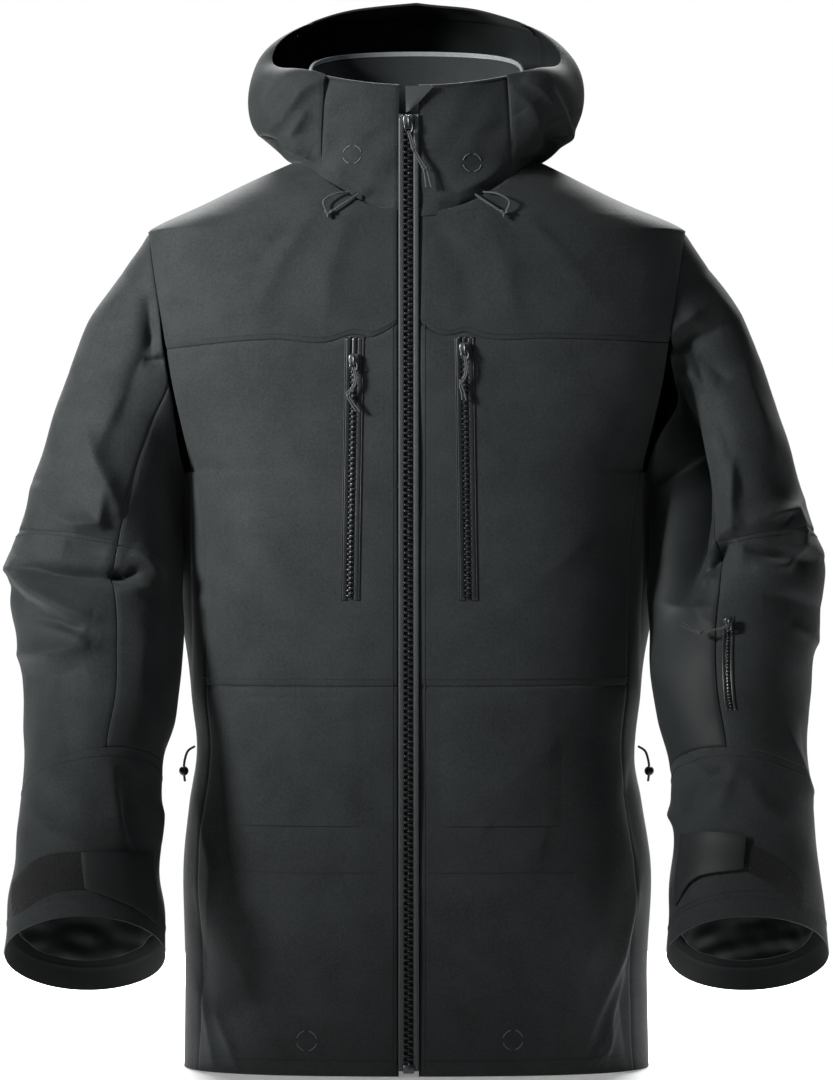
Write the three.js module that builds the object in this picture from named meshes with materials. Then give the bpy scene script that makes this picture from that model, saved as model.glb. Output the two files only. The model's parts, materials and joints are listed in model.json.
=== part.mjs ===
// A hooded ski jacket standing on its hem, in millimetres. The wearer faces -Y, +Z is up, and the
// wearer's right side is -X. Every cloth panel is a thin closed shell of its own, cut at the real seams.
import * as THREE from 'three';

// ---- driving dimensions ----------------------------------------------------------------------------
const CLOTH = 1.6;              // modelled thickness of the laminated shell cloth
const SEAM_GAP = 0.8;           // clearance between two panels at a seam
const ROUNDNESS = 2.5;          // exponent of the torso's cross-section

const WAIST_SEAM_Z = 351;
const YOKE_SEAM_Z = 667;
const BACK_YOKE_Z = 640;
const NECK_FRONT_Z = 780;       // neck seam at the centre front
const NECK_BACK_Z = 829;        // neck seam at the sides and back
const NECK_HALF_WIDTH = 110;
const COLLAR_TOP_Z = 893;

const ARMHOLE = { bottomZ: 545, topZ: 765, bottomX: 212, topX: 246, centreY: 6, halfDepth: 66 };

const ZIP_X = -7;               // the main zip runs a little to the wearer's right of centre
const ZIP_HALF_WIDTH = 9;
const ZIP_BOTTOM_Z = 5;
const ZIP_TOP_Z = 868;
const FRONT_DEPTH_HEM = 128;    // the front edge is a straight line from the hem to the collar
const FRONT_LEAN = 0.0253;      // how far it leans back for each millimetre of height

const CORD_RADIUS = 1.1;
const SIDES = { right: -1, left: 1 };

// ---- materials -------------------------------------------------------------------------------------
function finish(colour, roughness, metalness = 0) {
  return new THREE.MeshStandardMaterial({ color: colour, roughness, metalness });
}

const MATERIALS = {
  shell: finish(0x34393b, 0.85),
  lining: finish(0x14181a, 0.8),
  tape: finish(0x5a5f62, 0.45),
  zip: finish(0x16181a, 0.35),
  metal: finish(0x2c2f31, 0.35, 0.8),
  loop: finish(0x0c0e0f, 1.0),
  tab: finish(0x2e3335, 0.6),
  cord: finish(0x26292b, 0.7),
};

const jacket = new THREE.Group();

function add(name, geometry, material) {
  const mesh = new THREE.Mesh(geometry, material);
  mesh.name = name;
  jacket.add(mesh);
  return mesh;
}

// ---- small helpers ---------------------------------------------------------------------------------
const lerp = THREE.MathUtils.lerp;
const clamp = THREE.MathUtils.clamp;
const radians = THREE.MathUtils.degToRad;
const vec = (x, y, z) => new THREE.Vector3(x, y, z);

// Reads a column of a table whose rows start with the key, in rising order.
function lookUp(table, key, column) {
  let i = 0;
  while (i < table.length - 2 && key > table[i + 1][0]) i += 1;
  const [low, high] = [table[i], table[i + 1]];
  const share = clamp((key - low[0]) / (high[0] - low[0]), 0, 1);
  return lerp(low[column], high[column], share);
}

function geometryFrom(points, triangles) {
  const geometry = new THREE.BufferGeometry();
  const positions = new Float32Array(points.flatMap((p) => [p.x, p.y, p.z]));
  geometry.setAttribute('position', new THREE.BufferAttribute(positions, 3));
  geometry.setIndex(triangles);
  geometry.computeVertexNormals();
  return geometry;
}

// Twice six times the enclosed volume's sign says which way the faces look.
function facesLookOut(points, triangles) {
  let sum = 0;
  for (let i = 0; i < triangles.length; i += 3) {
    const [a, b, c] = [points[triangles[i]], points[triangles[i + 1]], points[triangles[i + 2]]];
    sum += a.dot(b.clone().cross(c));
  }
  return sum > 0;
}

// A closed shell between an outer face and an inner face, both given as rows of points. With
// `round` the rows close on themselves and only their two ends get a rim.
function shellBetween(outer, inner, round = false) {
  const rows = outer.length;
  const columns = outer[0].length;
  const points = [...outer.flat(), ...inner.flat()];
  const outerAt = (r, c) => r * columns + (c % columns);
  const innerAt = (r, c) => rows * columns + outerAt(r, c);
  const spans = round ? columns : columns - 1;
  const triangles = [];
  const quad = (a, b, c, d) => triangles.push(a, b, c, a, c, d);
  for (let r = 0; r < rows - 1; r += 1) {
    for (let c = 0; c < spans; c += 1) {
      quad(outerAt(r, c), outerAt(r, c + 1), outerAt(r + 1, c + 1), outerAt(r + 1, c));
      quad(innerAt(r, c), innerAt(r + 1, c), innerAt(r + 1, c + 1), innerAt(r, c + 1));
    }
  }
  for (let c = 0; c < spans; c += 1) {
    quad(innerAt(0, c), innerAt(0, c + 1), outerAt(0, c + 1), outerAt(0, c));
    quad(outerAt(rows - 1, c), outerAt(rows - 1, c + 1), innerAt(rows - 1, c + 1), innerAt(rows - 1, c));
  }
  if (!round) {
    for (let r = 0; r < rows - 1; r += 1) {
      quad(outerAt(r, 0), outerAt(r + 1, 0), innerAt(r + 1, 0), innerAt(r, 0));
      quad(innerAt(r, spans), innerAt(r + 1, spans), outerAt(r + 1, spans), outerAt(r, spans));
    }
  }
  if (!facesLookOut(points, triangles)) triangles.reverse();
  return geometryFrom(points, triangles);
}

// Rows of points over a surface(u, v), with u and v from 0 to 1.
function gridOver(surface, across, along, round = false) {
  const columns = round ? across : across + 1;
  const row = (v) => Array.from({ length: columns }, (_, i) => surface(i / across, v));
  return Array.from({ length: along + 1 }, (_, j) => row(j / along));
}

// A panel of cloth that lies on surface(u, v, lift), from `lift` down by `thick`.
function panel(surface, across, along, { lift = 0, thick = CLOTH, round = false } = {}) {
  const face = (offset) => gridOver((u, v) => surface(u, v, offset), across, along, round);
  return shellBetween(face(lift), face(lift - thick), round);
}

// A cord with eight sides along its points.
function cordThrough(points, radius = CORD_RADIUS, sides = 8) {
  const section = new THREE.Shape();
  for (let i = 0; i < sides; i += 1) {
    const angle = (2 * Math.PI * i) / sides;
    const [x, y] = [radius * Math.cos(angle), radius * Math.sin(angle)];
    if (i === 0) section.moveTo(x, y);
    else section.lineTo(x, y);
  }
  const path = new THREE.CatmullRomCurve3(points);
  const steps = clamp(Math.round(path.getLength() / (radius * 5)), 4, 24);
  return new THREE.ExtrudeGeometry(section, { steps, bevelEnabled: false, extrudePath: path });
}

// ---- torso -----------------------------------------------------------------------------------------
// Height, half width, and depth of the back from the side line.
const TORSO = [
  [0, 214, 116], [80, 213, 119], [195, 214, 121], [243, 208, 120], [290, 202, 118], [345, 207, 121],
  [460, 214, 129], [540, 213, 133], [660, 236, 136], [711, 246, 132], [765, 247, 120], [789, 196, 110],
  [815, 146, 98], [NECK_BACK_Z, 112, 90],
];
const SHOULDER_FRONT_DEPTH = [[780, 108], [800, 103], [815, 94], [NECK_BACK_Z, 84]];

const halfWidth = (z) => lookUp(TORSO, z, 1);
const backDepth = (z) => lookUp(TORSO, z, 2);

function frontDepth(z) {
  const straight = FRONT_DEPTH_HEM - FRONT_LEAN * z;
  return z > NECK_FRONT_Z ? lookUp(SHOULDER_FRONT_DEPTH, z, 1) : straight;
}

// How far the armhole's edge lies in front of or behind its middle at a height, and how far out.
function armholeEdge(z, facing) {
  const rise = clamp((z - ARMHOLE.bottomZ) / (ARMHOLE.topZ - ARMHOLE.bottomZ), 0, 1);
  const swing = Math.sqrt(Math.max(0, 1 - (2 * rise - 1) ** 2));
  const y = ARMHOLE.centreY * (1 - Math.abs(2 * rise - 1)) + facing * ARMHOLE.halfDepth * swing;
  return { x: lerp(ARMHOLE.bottomX, ARMHOLE.topX, rise), y };
}

// Half width of the cross-section: beside the armhole it is what carries the cloth through its edge.
function sectionWidth(z, facing) {
  if (z <= ARMHOLE.bottomZ || z >= ARMHOLE.topZ) return halfWidth(z);
  const edge = armholeEdge(z, facing);
  const depth = facing < 0 ? frontDepth(z) : backDepth(z);
  const rest = 1 - Math.min(0.9, Math.abs(edge.y) / depth) ** ROUNDNESS;
  return edge.x / rest ** (1 / ROUNDNESS);
}

// A point of the torso at x and height z, in front (facing -1) or behind (facing 1), lifted outwards.
function torsoPoint(x, z, facing, lift = 0) {
  const depth = (facing < 0 ? frontDepth(z) : backDepth(z)) + lift;
  const width = sectionWidth(z, facing) + lift;
  const reach = x * (1 + lift / sectionWidth(z, facing));
  const share = Math.min(1, Math.abs(reach) / width) ** ROUNDNESS;
  const roof = z > ARMHOLE.topZ ? lift * 0.7 : 0;
  return vec(reach, facing * depth * (1 - share) ** (1 / ROUNDNESS), z + roof);
}

const SIDE_PANEL_SHARE = 0.93;  // where the side panel's seams lie, as a share of the half width
const SIDE_GAP = 3.5;           // clearance there, where two facets of unlike height meet

function outerEdgeX(z, facing) {
  if (z <= ARMHOLE.bottomZ) return lerp(SIDE_PANEL_SHARE, 0.97, clamp((z - 470) / 75, 0, 1)) * halfWidth(z);
  if (z < ARMHOLE.topZ) return armholeEdge(z, facing).x - SEAM_GAP;
  return halfWidth(z) * (1 - (SEAM_GAP / frontDepth(z)) ** ROUNDNESS) ** (1 / ROUNDNESS);
}

// The neck seam's x at a height: nothing below the centre front, then out to the side of the neck.
function neckEdgeX(z) {
  if (z <= NECK_FRONT_Z) return 0;
  const rise = (z - NECK_FRONT_Z) / (NECK_BACK_Z - NECK_FRONT_Z);
  return (NECK_HALF_WIDTH - 8) * Math.min(1, rise) ** 0.45;
}

function zipEdgeX(side) {
  return side > 0 ? ZIP_X + ZIP_HALF_WIDTH + SEAM_GAP : -(ZIP_X - ZIP_HALF_WIDTH - SEAM_GAP);
}

// Spreads a share so that its steps shorten towards the sides, where the cloth turns away.
const easeToSide = (share) => Math.sin((share * Math.PI) / 2) ** 0.9;

function frontPanel(side, bottomZ, topZ, across, along, extra) {
  const surface = (u, v, lift) => {
    const z = lerp(bottomZ, topZ, v);
    const inner = Math.max(zipEdgeX(side), neckEdgeX(z));
    const outer = outerEdgeX(z, -1);
    return torsoPoint(side * lerp(inner, outer, easeToSide(u)), z, -1, lift);
  };
  return panel(surface, across, along, extra);
}

function backPanel(bottomZ, topZ, across, along) {
  const surface = (u, v, lift) => {
    const z = lerp(bottomZ, topZ, v);
    const share = 2 * u - 1;
    return torsoPoint(Math.sign(share) * outerEdgeX(z, 1) * easeToSide(Math.abs(share)), z, 1, lift);
  };
  return panel(surface, across, along);
}

// The side panel wraps from the front seam round to the back seam, from the hem to the underarm.
function sidePanel(side) {
  const top = ARMHOLE.bottomZ - SEAM_GAP;
  const surface = (u, v, lift) => {
    const z = lerp(0, top, v);
    const edge = outerEdgeX(z, -1) + SIDE_GAP;
    const turn = 2 * u - 1;
    const x = lerp(halfWidth(z), edge, Math.abs(turn) ** 2);
    return torsoPoint(side * x, z, turn < 0 ? -1 : 1, lift);
  };
  return panel(surface, 6, 8);
}

for (const [name, side] of Object.entries(SIDES)) {
  add(`lower_front_${name}`, frontPanel(side, 0, WAIST_SEAM_Z - SEAM_GAP, 9, 5), MATERIALS.shell);
  add(`chest_panel_${name}`, frontPanel(side, WAIST_SEAM_Z, YOKE_SEAM_Z - SEAM_GAP, 6, 6), MATERIALS.shell);
  add(`front_yoke_${name}`, frontPanel(side, YOKE_SEAM_Z, NECK_BACK_Z - 2, 6, 9), MATERIALS.shell);
  add(`side_panel_${name}`, sidePanel(side), MATERIALS.shell);
}
add('back_panel', backPanel(0, BACK_YOKE_Z - SEAM_GAP, 12, 8), MATERIALS.shell);
add('back_yoke', backPanel(BACK_YOKE_Z, NECK_BACK_Z - 2, 12, 9), MATERIALS.shell);

// ---- sleeves ---------------------------------------------------------------------------------------
// Each row is a hoop round the arm: its place along the sleeve, the outer point's x and z, the inner
// point's x and z, the middle's y, half the depth, and how far the hoop tips up at the front (degrees).
const HOOPS = [
  [0, 252, 764, 218, 546, 6, 66, 0], [1, 285, 707, 217, 519, 5, 72, 0], [2, 318, 640, 217, 501, 1, 75, 0],
  [3, 343, 565, 218, 484, -5, 78, 4], [4, 362, 496, 219, 464, -13, 79, 8], [5, 375, 452, 216, 429, -23, 79, 12],
  [6, 364, 384, 214, 374, -44, 78, 16], [7, 357, 320, 219, 323, -68, 76, 20], [8, 358, 258, 230, 277, -93, 75, 23],
  [9, 362, 200, 231, 193, -113, 74, 26], [10, 367, 155, 228, 154, -127, 75, 28], [11, 371, 111, 225, 112, -137, 76, 30],
];
const LAST_HOOP = 11;
const CUFF_HOOP = 10.55;
const WRIST_HOOP = 8;
const ELBOW_HOOP = 4.15;
const UNDER_SEAM = 105;         // degrees round from the outer side to the under-sleeve's seam

// A point of a sleeve: `place` runs along the arm, `turn` goes round it from the outer side, forwards first.
function sleevePoint(side, place, turn, lift = 0) {
  const read = (column) => lookUp(HOOPS, place, column);
  const outer = vec(side * read(1), 0, read(2));
  const inner = vec(side * read(3), 0, read(4));
  const half = outer.clone().sub(inner).multiplyScalar(0.5);
  const tip = radians(read(7));
  const depth = vec(0, -Math.cos(tip), Math.sin(tip)).multiplyScalar(read(6) + lift);
  const across = half.clone().setLength(half.length() + lift);
  const centre = outer.clone().add(inner).multiplyScalar(0.5).setY(read(5));
  const angle = radians(turn);
  return centre.addScaledVector(across, Math.cos(angle)).addScaledVector(depth, Math.sin(angle));
}

function sleevePanel(side, places, turns, across, along, extra) {
  const surface = (u, v, lift) =>
    sleevePoint(side, lerp(places[0], places[1], v), lerp(turns[0], turns[1], u), lift);
  return panel(surface, across, along, extra);
}

const PLACE_GAP = 0.02;         // clearance between hoops, as a share of a hoop's pitch
const TURN_GAP = 1.6;           // clearance at lengthwise seams, in degrees

for (const [name, side] of Object.entries(SIDES)) {
  const outside = [-UNDER_SEAM + TURN_GAP, UNDER_SEAM - TURN_GAP];
  const underside = [UNDER_SEAM, 360 - UNDER_SEAM];
  const wholeTurn = [0, 360];
  const upper = [0, ELBOW_HOOP - PLACE_GAP];
  const forearm = [ELBOW_HOOP, WRIST_HOOP - PLACE_GAP];
  const wrist = [WRIST_HOOP, CUFF_HOOP - PLACE_GAP];
  add(`upper_sleeve_${name}`, sleevePanel(side, upper, outside, 10, 5), MATERIALS.shell);
  add(`forearm_panel_${name}`, sleevePanel(side, forearm, outside, 10, 4), MATERIALS.shell);
  add(`under_sleeve_${name}`, sleevePanel(side, [0, forearm[1]], underside, 6, 8), MATERIALS.shell);
  add(`wrist_panel_${name}`, sleevePanel(side, wrist, wholeTurn, 16, 3, { round: true }), MATERIALS.shell);
  const cuff = [CUFF_HOOP, LAST_HOOP];
  add(`cuff_band_${name}`, sleevePanel(side, cuff, wholeTurn, 16, 1, { round: true }), MATERIALS.shell);
  const gaiter = { round: true, lift: -9, thick: CLOTH };
  add(`wrist_gaiter_${name}`, sleevePanel(side, [9.3, 10.45], wholeTurn, 16, 2, gaiter), MATERIALS.lining);
}

// ---- cuff closures ---------------------------------------------------------------------------------
const LOOP_PATCH = { places: [9.05, 10.0], turns: [12, 84], lift: 3.8, thick: 1.8 };
const CUFF_TAB = { places: [8.95, 10.15], turns: [80, 158], lift: 7.2, thick: 2.2 };

for (const [name, side] of Object.entries(SIDES)) {
  const { places, turns, lift, thick } = LOOP_PATCH;
  add(`loop_patch_${name}`, sleevePanel(side, places, turns, 5, 2, { lift, thick }), MATERIALS.loop);
  // The tab tapers a little towards its free end.
  const tab = (u, v, offset) => {
    const taper = lerp(0.09, 0, u);
    const place = lerp(CUFF_TAB.places[0] + taper, CUFF_TAB.places[1] - 3 * taper, v);
    return sleevePoint(side, place, lerp(CUFF_TAB.turns[0], CUFF_TAB.turns[1], u), offset);
  };
  add(`cuff_tab_${name}`, panel(tab, 6, 2, { lift: CUFF_TAB.lift, thick: CUFF_TAB.thick }), MATERIALS.tab);
}

// ---- collar and hood -------------------------------------------------------------------------------
const CHIN_SEAM_X = 84;
const zipLineY = (z) => -(FRONT_DEPTH_HEM - FRONT_LEAN * z);

// The chin panel stands on the front neck seam and reaches the collar's top edge.
function chinPanel(side) {
  const inner = zipEdgeX(side);
  const surface = (u, v, lift) => {
    const x = lerp(inner, CHIN_SEAM_X, u);
    const out = (x / CHIN_SEAM_X) ** 2;
    const bottomZ = NECK_FRONT_Z + 1.5 + 34 * out;
    const z = lerp(bottomZ, COLLAR_TOP_Z + 10 * out, v);
    const y = zipLineY(z) + 22 * out - 5 * out * Math.sin(Math.PI * v);
    return vec(side * (x * lerp(1.02, 0.97, v) + lift * 0.3 * out), y - lift, z);
  };
  return panel(surface, 5, 4);
}

// The hood by direction: degrees from +X towards +Y, then the rim's x, y, z, and how far the cloth
// swells beyond its neck seam and beyond its rim.
const HOOD_RIM = [
  [-48, 81, -94, 904, 12, 6], [-25, 112, -66, 912, 38, 22], [0, 131, -22, 919, 46, 32], [25, 127, 2, 938, 48, 44],
  [50, 101, 16, 957, 52, 70], [70, 58, 26, 972, 60, 100], [90, 0, 30, 979, 66, 116],
];
const HOOD_SEAM = 52;           // direction of the seam between a side panel and the centre panel
const BRIM_SHARE = 0.87;        // where the brim starts on the way from the neck seam to the rim

function neckSeam(direction, margin) {
  const angle = radians(direction);
  const front = Math.sin(angle) < 0;
  const x = (NECK_HALF_WIDTH + margin) * Math.cos(angle);
  const y = ((front ? 84 : 90) + margin) * Math.sin(angle);
  const z = NECK_BACK_Z + margin - (front ? 22 * Math.sin(angle) ** 2 : 0);
  return vec(x, y, z);
}

function hoodPoint(side, direction, v, lift) {
  const mirrored = direction > 90 ? 180 - direction : direction;
  const flip = direction > 90 ? -side : side;
  const read = (column) => lookUp(HOOD_RIM, mirrored, column);
  const angle = radians(mirrored);
  const outward = vec(Math.cos(angle), Math.sin(angle), 0);
  const start = neckSeam(mirrored, 2.5);
  const rim = vec(read(1), read(2), read(3));
  const swellLow = start.clone().addScaledVector(outward, read(4)).add(vec(0, 0, 10));
  const swellHigh = rim.clone().addScaledVector(outward, read(5)).add(vec(0, 0, -8));
  const curve = new THREE.CubicBezierCurve3(start, swellLow, swellHigh, rim);
  const tangent = curve.getTangent(v);
  const sideways = vec(-Math.sin(angle), Math.cos(angle), 0);
  const normal = sideways.cross(tangent).normalize();
  const point = curve.getPoint(v).addScaledVector(normal, lift);
  return vec(flip * point.x, point.y, point.z);
}

function hoodPanel(side, directions, shares, across, along) {
  const surface = (u, v, lift) =>
    hoodPoint(side, lerp(directions[0], directions[1], u), lerp(shares[0], shares[1], v), lift);
  return panel(surface, across, along);
}

for (const [name, side] of Object.entries(SIDES)) {
  add(`chin_panel_${name}`, chinPanel(side), MATERIALS.shell);
  add(`hood_side_${name}`, hoodPanel(side, [-46, HOOD_SEAM - 0.5], [0.02, 1], 9, 7), MATERIALS.shell);
}
const CENTRE = [HOOD_SEAM, 180 - HOOD_SEAM];
add('hood_centre', hoodPanel(1, CENTRE, [0.02, BRIM_SHARE - 0.005], 8, 7), MATERIALS.shell);
add('hood_brim', hoodPanel(1, CENTRE, [BRIM_SHARE, 1], 8, 2), MATERIALS.shell);

// The inner collar rises behind the neck, inside the hood.
const innerCollar = (u, v, lift) => {
  const angle = radians(lerp(-8, 188, u));
  const radiusX = lerp(95, 99, v) + lift;
  const radiusY = lerp(76, 66, v) + lift;
  const z = lerp(NECK_BACK_Z + 3, lerp(908, 936, Math.max(0, Math.sin(angle)) ** 0.5), v);
  return vec(radiusX * Math.cos(angle), radiusY * Math.sin(angle), z);
};
add('inner_collar', panel(innerCollar, 14, 2), MATERIALS.tape);

// ---- main zip --------------------------------------------------------------------------------------
const CHAIN_GAP = 0.35;         // half the clearance between the two zip tapes

function zipTape(side) {
  const near = ZIP_X + side * CHAIN_GAP;
  const far = ZIP_X + side * ZIP_HALF_WIDTH;
  const surface = (u, v, lift) => {
    const z = lerp(ZIP_BOTTOM_Z, ZIP_TOP_Z, v);
    return vec(lerp(near, far, u), zipLineY(z) - lift, z);
  };
  return panel(surface, 1, 2, { lift: 0.6, thick: 2 });
}

function boxAt(width, depth, height, centre) {
  return new THREE.BoxGeometry(width, depth, height).translate(centre.x, centre.y, centre.z);
}

const leanAngle = Math.atan(FRONT_LEAN);

// A slider body: a tapered block with a bridge for the pull, lying in front of the chain.
function sliderAt(width, height, depth, centre) {
  const outline = new THREE.Shape();
  outline.moveTo(-width * 0.34, -height / 2);
  outline.lineTo(width * 0.34, -height / 2);
  outline.lineTo(width / 2, height * 0.2);
  outline.lineTo(width * 0.4, height / 2);
  outline.lineTo(-width * 0.4, height / 2);
  outline.lineTo(-width / 2, height * 0.2);
  outline.closePath();
  const body = new THREE.ExtrudeGeometry(outline, { depth, bevelEnabled: false });
  body.translate(0, 0, -depth / 2).rotateX(Math.PI / 2).rotateX(-leanAngle);
  return body.translate(centre.x, centre.y, centre.z);
}

for (const [name, side] of Object.entries(SIDES)) {
  add(`main_zip_tape_${name}`, zipTape(side), MATERIALS.tape);
}
const MAIN_SLIDER_Z = 861;
const SLIDER_DEPTH = 3.4;
const sliderFront = (z, proud) => vec(ZIP_X, zipLineY(z) - proud - SLIDER_DEPTH / 2, z);
add('main_zip_slider', sliderAt(11, 13, SLIDER_DEPTH, sliderFront(MAIN_SLIDER_Z, 1.2)), MATERIALS.metal);
add('main_zip_box', boxAt(10, 3, 8, vec(ZIP_X, zipLineY(7) - 2.6, 7)), MATERIALS.metal);

// The zip garage is a folded triangle over the top of the chain.
const garage = new THREE.Shape([
  new THREE.Vector2(-10, COLLAR_TOP_Z), new THREE.Vector2(-9, 870.5), new THREE.Vector2(-3, 873),
  new THREE.Vector2(16, COLLAR_TOP_Z),
]);
const garageFlap = new THREE.ExtrudeGeometry(garage, { depth: CLOTH, bevelEnabled: false });
garageFlap.rotateX(Math.PI / 2).translate(0, zipLineY(880) - 1.2, 0);
add('zip_garage', garageFlap, MATERIALS.shell);

// ---- zip pulls -------------------------------------------------------------------------------------
// A pull is a doubled, knotted cord: its points are steps sideways and down from the slider's eye.
const MAIN_PULL_STEPS = [[0, 0], [3, -12], [6, -24], [13, -38], [18, -52]];
const CHEST_PULL_STEPS = [[0, 0], [1.5, -12], [0, -26], [-2, -42]];
const FOREARM_PULL_STEPS = [[0, 0], [-10, -3], [-24, -6], [-40, 4]];

function pullFrom(eye, steps, radius) {
  return cordThrough(steps.map(([x, z]) => vec(eye.x + x, eye.y - Math.abs(z) * 0.02, eye.z + z)), radius);
}

const PULL_RADIUS = 2;
const mainEye = sliderFront(MAIN_SLIDER_Z - 7, 1.2 + SLIDER_DEPTH);
add('main_zip_pull', pullFrom(mainEye, MAIN_PULL_STEPS, PULL_RADIUS), MATERIALS.cord);

// ---- chest pocket zips -----------------------------------------------------------------------------
const CHEST_ZIP = { topZ: 664, bottomZ: 429, halfWidth: 7.5, lean: 0.016 };
const CHEST_ZIP_X = { right: -56, left: 43 };
const CHEST_SLIDER_DROP = { right: 13, left: 3 };

const chestZipX = (name, z) => CHEST_ZIP_X[name] + Math.sign(CHEST_ZIP_X[name]) * CHEST_ZIP.lean * (CHEST_ZIP.topZ - z);

function chestZip(name) {
  const surface = (u, v, lift) => {
    const z = lerp(CHEST_ZIP.bottomZ, CHEST_ZIP.topZ, v);
    const x = chestZipX(name, z) + lerp(-1, 1, u) * CHEST_ZIP.halfWidth;
    return torsoPoint(x, z, -1, lift);
  };
  return panel(surface, 2, 3, { lift: 1.9, thick: 1.5 });
}

for (const name of Object.keys(SIDES)) {
  add(`chest_zip_${name}`, chestZip(name), MATERIALS.zip);
  const z = CHEST_ZIP.topZ - CHEST_SLIDER_DROP[name] - 6;
  const seat = torsoPoint(chestZipX(name, z), z, -1, 2.9 + SLIDER_DEPTH / 2);
  add(`chest_zip_slider_${name}`, sliderAt(8, 11, SLIDER_DEPTH, seat), MATERIALS.metal);
  const eye = seat.clone().add(vec(0, -SLIDER_DEPTH / 2 - PULL_RADIUS - 0.4, -3));
  add(`chest_zip_pull_${name}`, pullFrom(eye, CHEST_PULL_STEPS, PULL_RADIUS), MATERIALS.cord);
}

// ---- hand pocket flaps -----------------------------------------------------------------------------
const FLAP = { topZ: 344, bottomZ: 225, innerX: { right: 38, left: 10 }, outerX: { right: 172, left: 142 } };

for (const [name, side] of Object.entries(SIDES)) {
  const surface = (u, v, lift) => {
    const x = side * lerp(FLAP.innerX[name], FLAP.outerX[name], u);
    return torsoPoint(x, lerp(FLAP.bottomZ, FLAP.topZ, v), -1, lift);
  };
  add(`hand_pocket_flap_${name}`, panel(surface, 9, 2, { lift: 3.8, thick: 1.5 }), MATERIALS.shell);
}

// ---- forearm pocket on the left sleeve -------------------------------------------------------------
const FOREARM_ZIP = { places: [5.75, 7.35], turns: [92, 100], lift: 2.2, thick: 1.6 };
const forearmZip = sleevePanel(1, FOREARM_ZIP.places, FOREARM_ZIP.turns, 1, 3, FOREARM_ZIP);
add('forearm_zip', forearmZip, MATERIALS.zip);
const forearmSeat = sleevePoint(1, 5.86, 96, 6.4);
add('forearm_zip_slider', boxAt(7, 3, 9, forearmSeat), MATERIALS.metal);
const forearmEye = forearmSeat.clone().add(vec(-1, -4.2, -2));
add('forearm_zip_pull', pullFrom(forearmEye, FOREARM_PULL_STEPS, 1.7), MATERIALS.cord);

// ---- inside and trim -------------------------------------------------------------------------------
// The powder skirt hangs inside the waist, open at the front.
const powderSkirt = (u, v, lift) => {
  const angle = radians(lerp(-70, 250, u));
  const z = lerp(120, 300, v);
  const inset = lerp(24, 16, v) - lift;
  const depth = Math.sin(angle) < 0 ? frontDepth(z) : backDepth(z);
  return vec((halfWidth(z) - inset) * Math.cos(angle), (depth - inset) * Math.sin(angle), z);
};
add('powder_skirt', panel(powderSkirt, 20, 2), MATERIALS.lining);

// The storm flap lies behind the main zip, sewn to the wearer's left front.
const stormFlap = (u, v, lift) => {
  const z = lerp(ZIP_BOTTOM_Z + 8, NECK_FRONT_Z - 12, v);
  return vec(lerp(ZIP_X - 16, ZIP_X + 20, u), zipLineY(z) - lift, z);
};
add('storm_flap', panel(stormFlap, 2, 2, { lift: -4, thick: CLOTH }), MATERIALS.lining);

// The hanger loop is a small strap inside the back of the neck.
const HANGER = { halfSpan: 26, drop: 9, z: 842, y: 70 };
const hangerPoints = [-1, -0.6, 0, 0.6, 1].map((share) => {
  const sag = HANGER.drop * (1 - share ** 2);
  return vec(share * HANGER.halfSpan, HANGER.y - 3 - sag * 0.4, HANGER.z - sag * 0.5);
});
add('hanger_loop', cordThrough(hangerPoints, 1.3), MATERIALS.lining);

// The shock cords: their points are laid by hand, each from its exit.
const HOOD_CORD = [[62, -97, 796], [74, -102, 795], [80, -104, 790], [78, -104, 783], [66, -103, 788], [55, -101, 795]];
const WAIST_CORD = [[204, -24, 294], [209, -26, 290], [212, -27, 282], [213, -27, 272], [212, -26, 264]];
const BEAD_RADIUS = 4.2;

for (const [name, side] of Object.entries(SIDES)) {
  const route = (points) => points.map(([x, y, z]) => vec(side * x, y - 5, z));
  add(`hood_cord_${name}`, cordThrough(route(HOOD_CORD)), MATERIALS.cord);
  add(`waist_cord_${name}`, cordThrough(route(WAIST_CORD)), MATERIALS.cord);
  const end = route(WAIST_CORD)[WAIST_CORD.length - 1];
  const bead = new THREE.SphereGeometry(BEAD_RADIUS, 8, 6).translate(end.x, end.y, end.z - BEAD_RADIUS - 0.4);
  add(`waist_bead_${name}`, bead, MATERIALS.metal);
}

// ---- stand the jacket on its hem, centred on its footprint ------------------------------------------
const box = new THREE.Box3().setFromObject(jacket);
const middle = box.getCenter(new THREE.Vector3());
jacket.position.set(-middle.x, -middle.y, -box.min.z);
jacket.updateMatrixWorld(true);

export default jacket;
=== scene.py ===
"""A hooded ski jacket: cloth panels, zips, cords, studio light and camera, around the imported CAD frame.

Shapes are worked out in millimetres with the wearer's middle at x = 0, y = 0 and the hem at z = 0.
place() turns them into the frame's metres. The front faces -Y and the wearer's right is -X.
"""
import functools
import itertools
import json
import math

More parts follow.
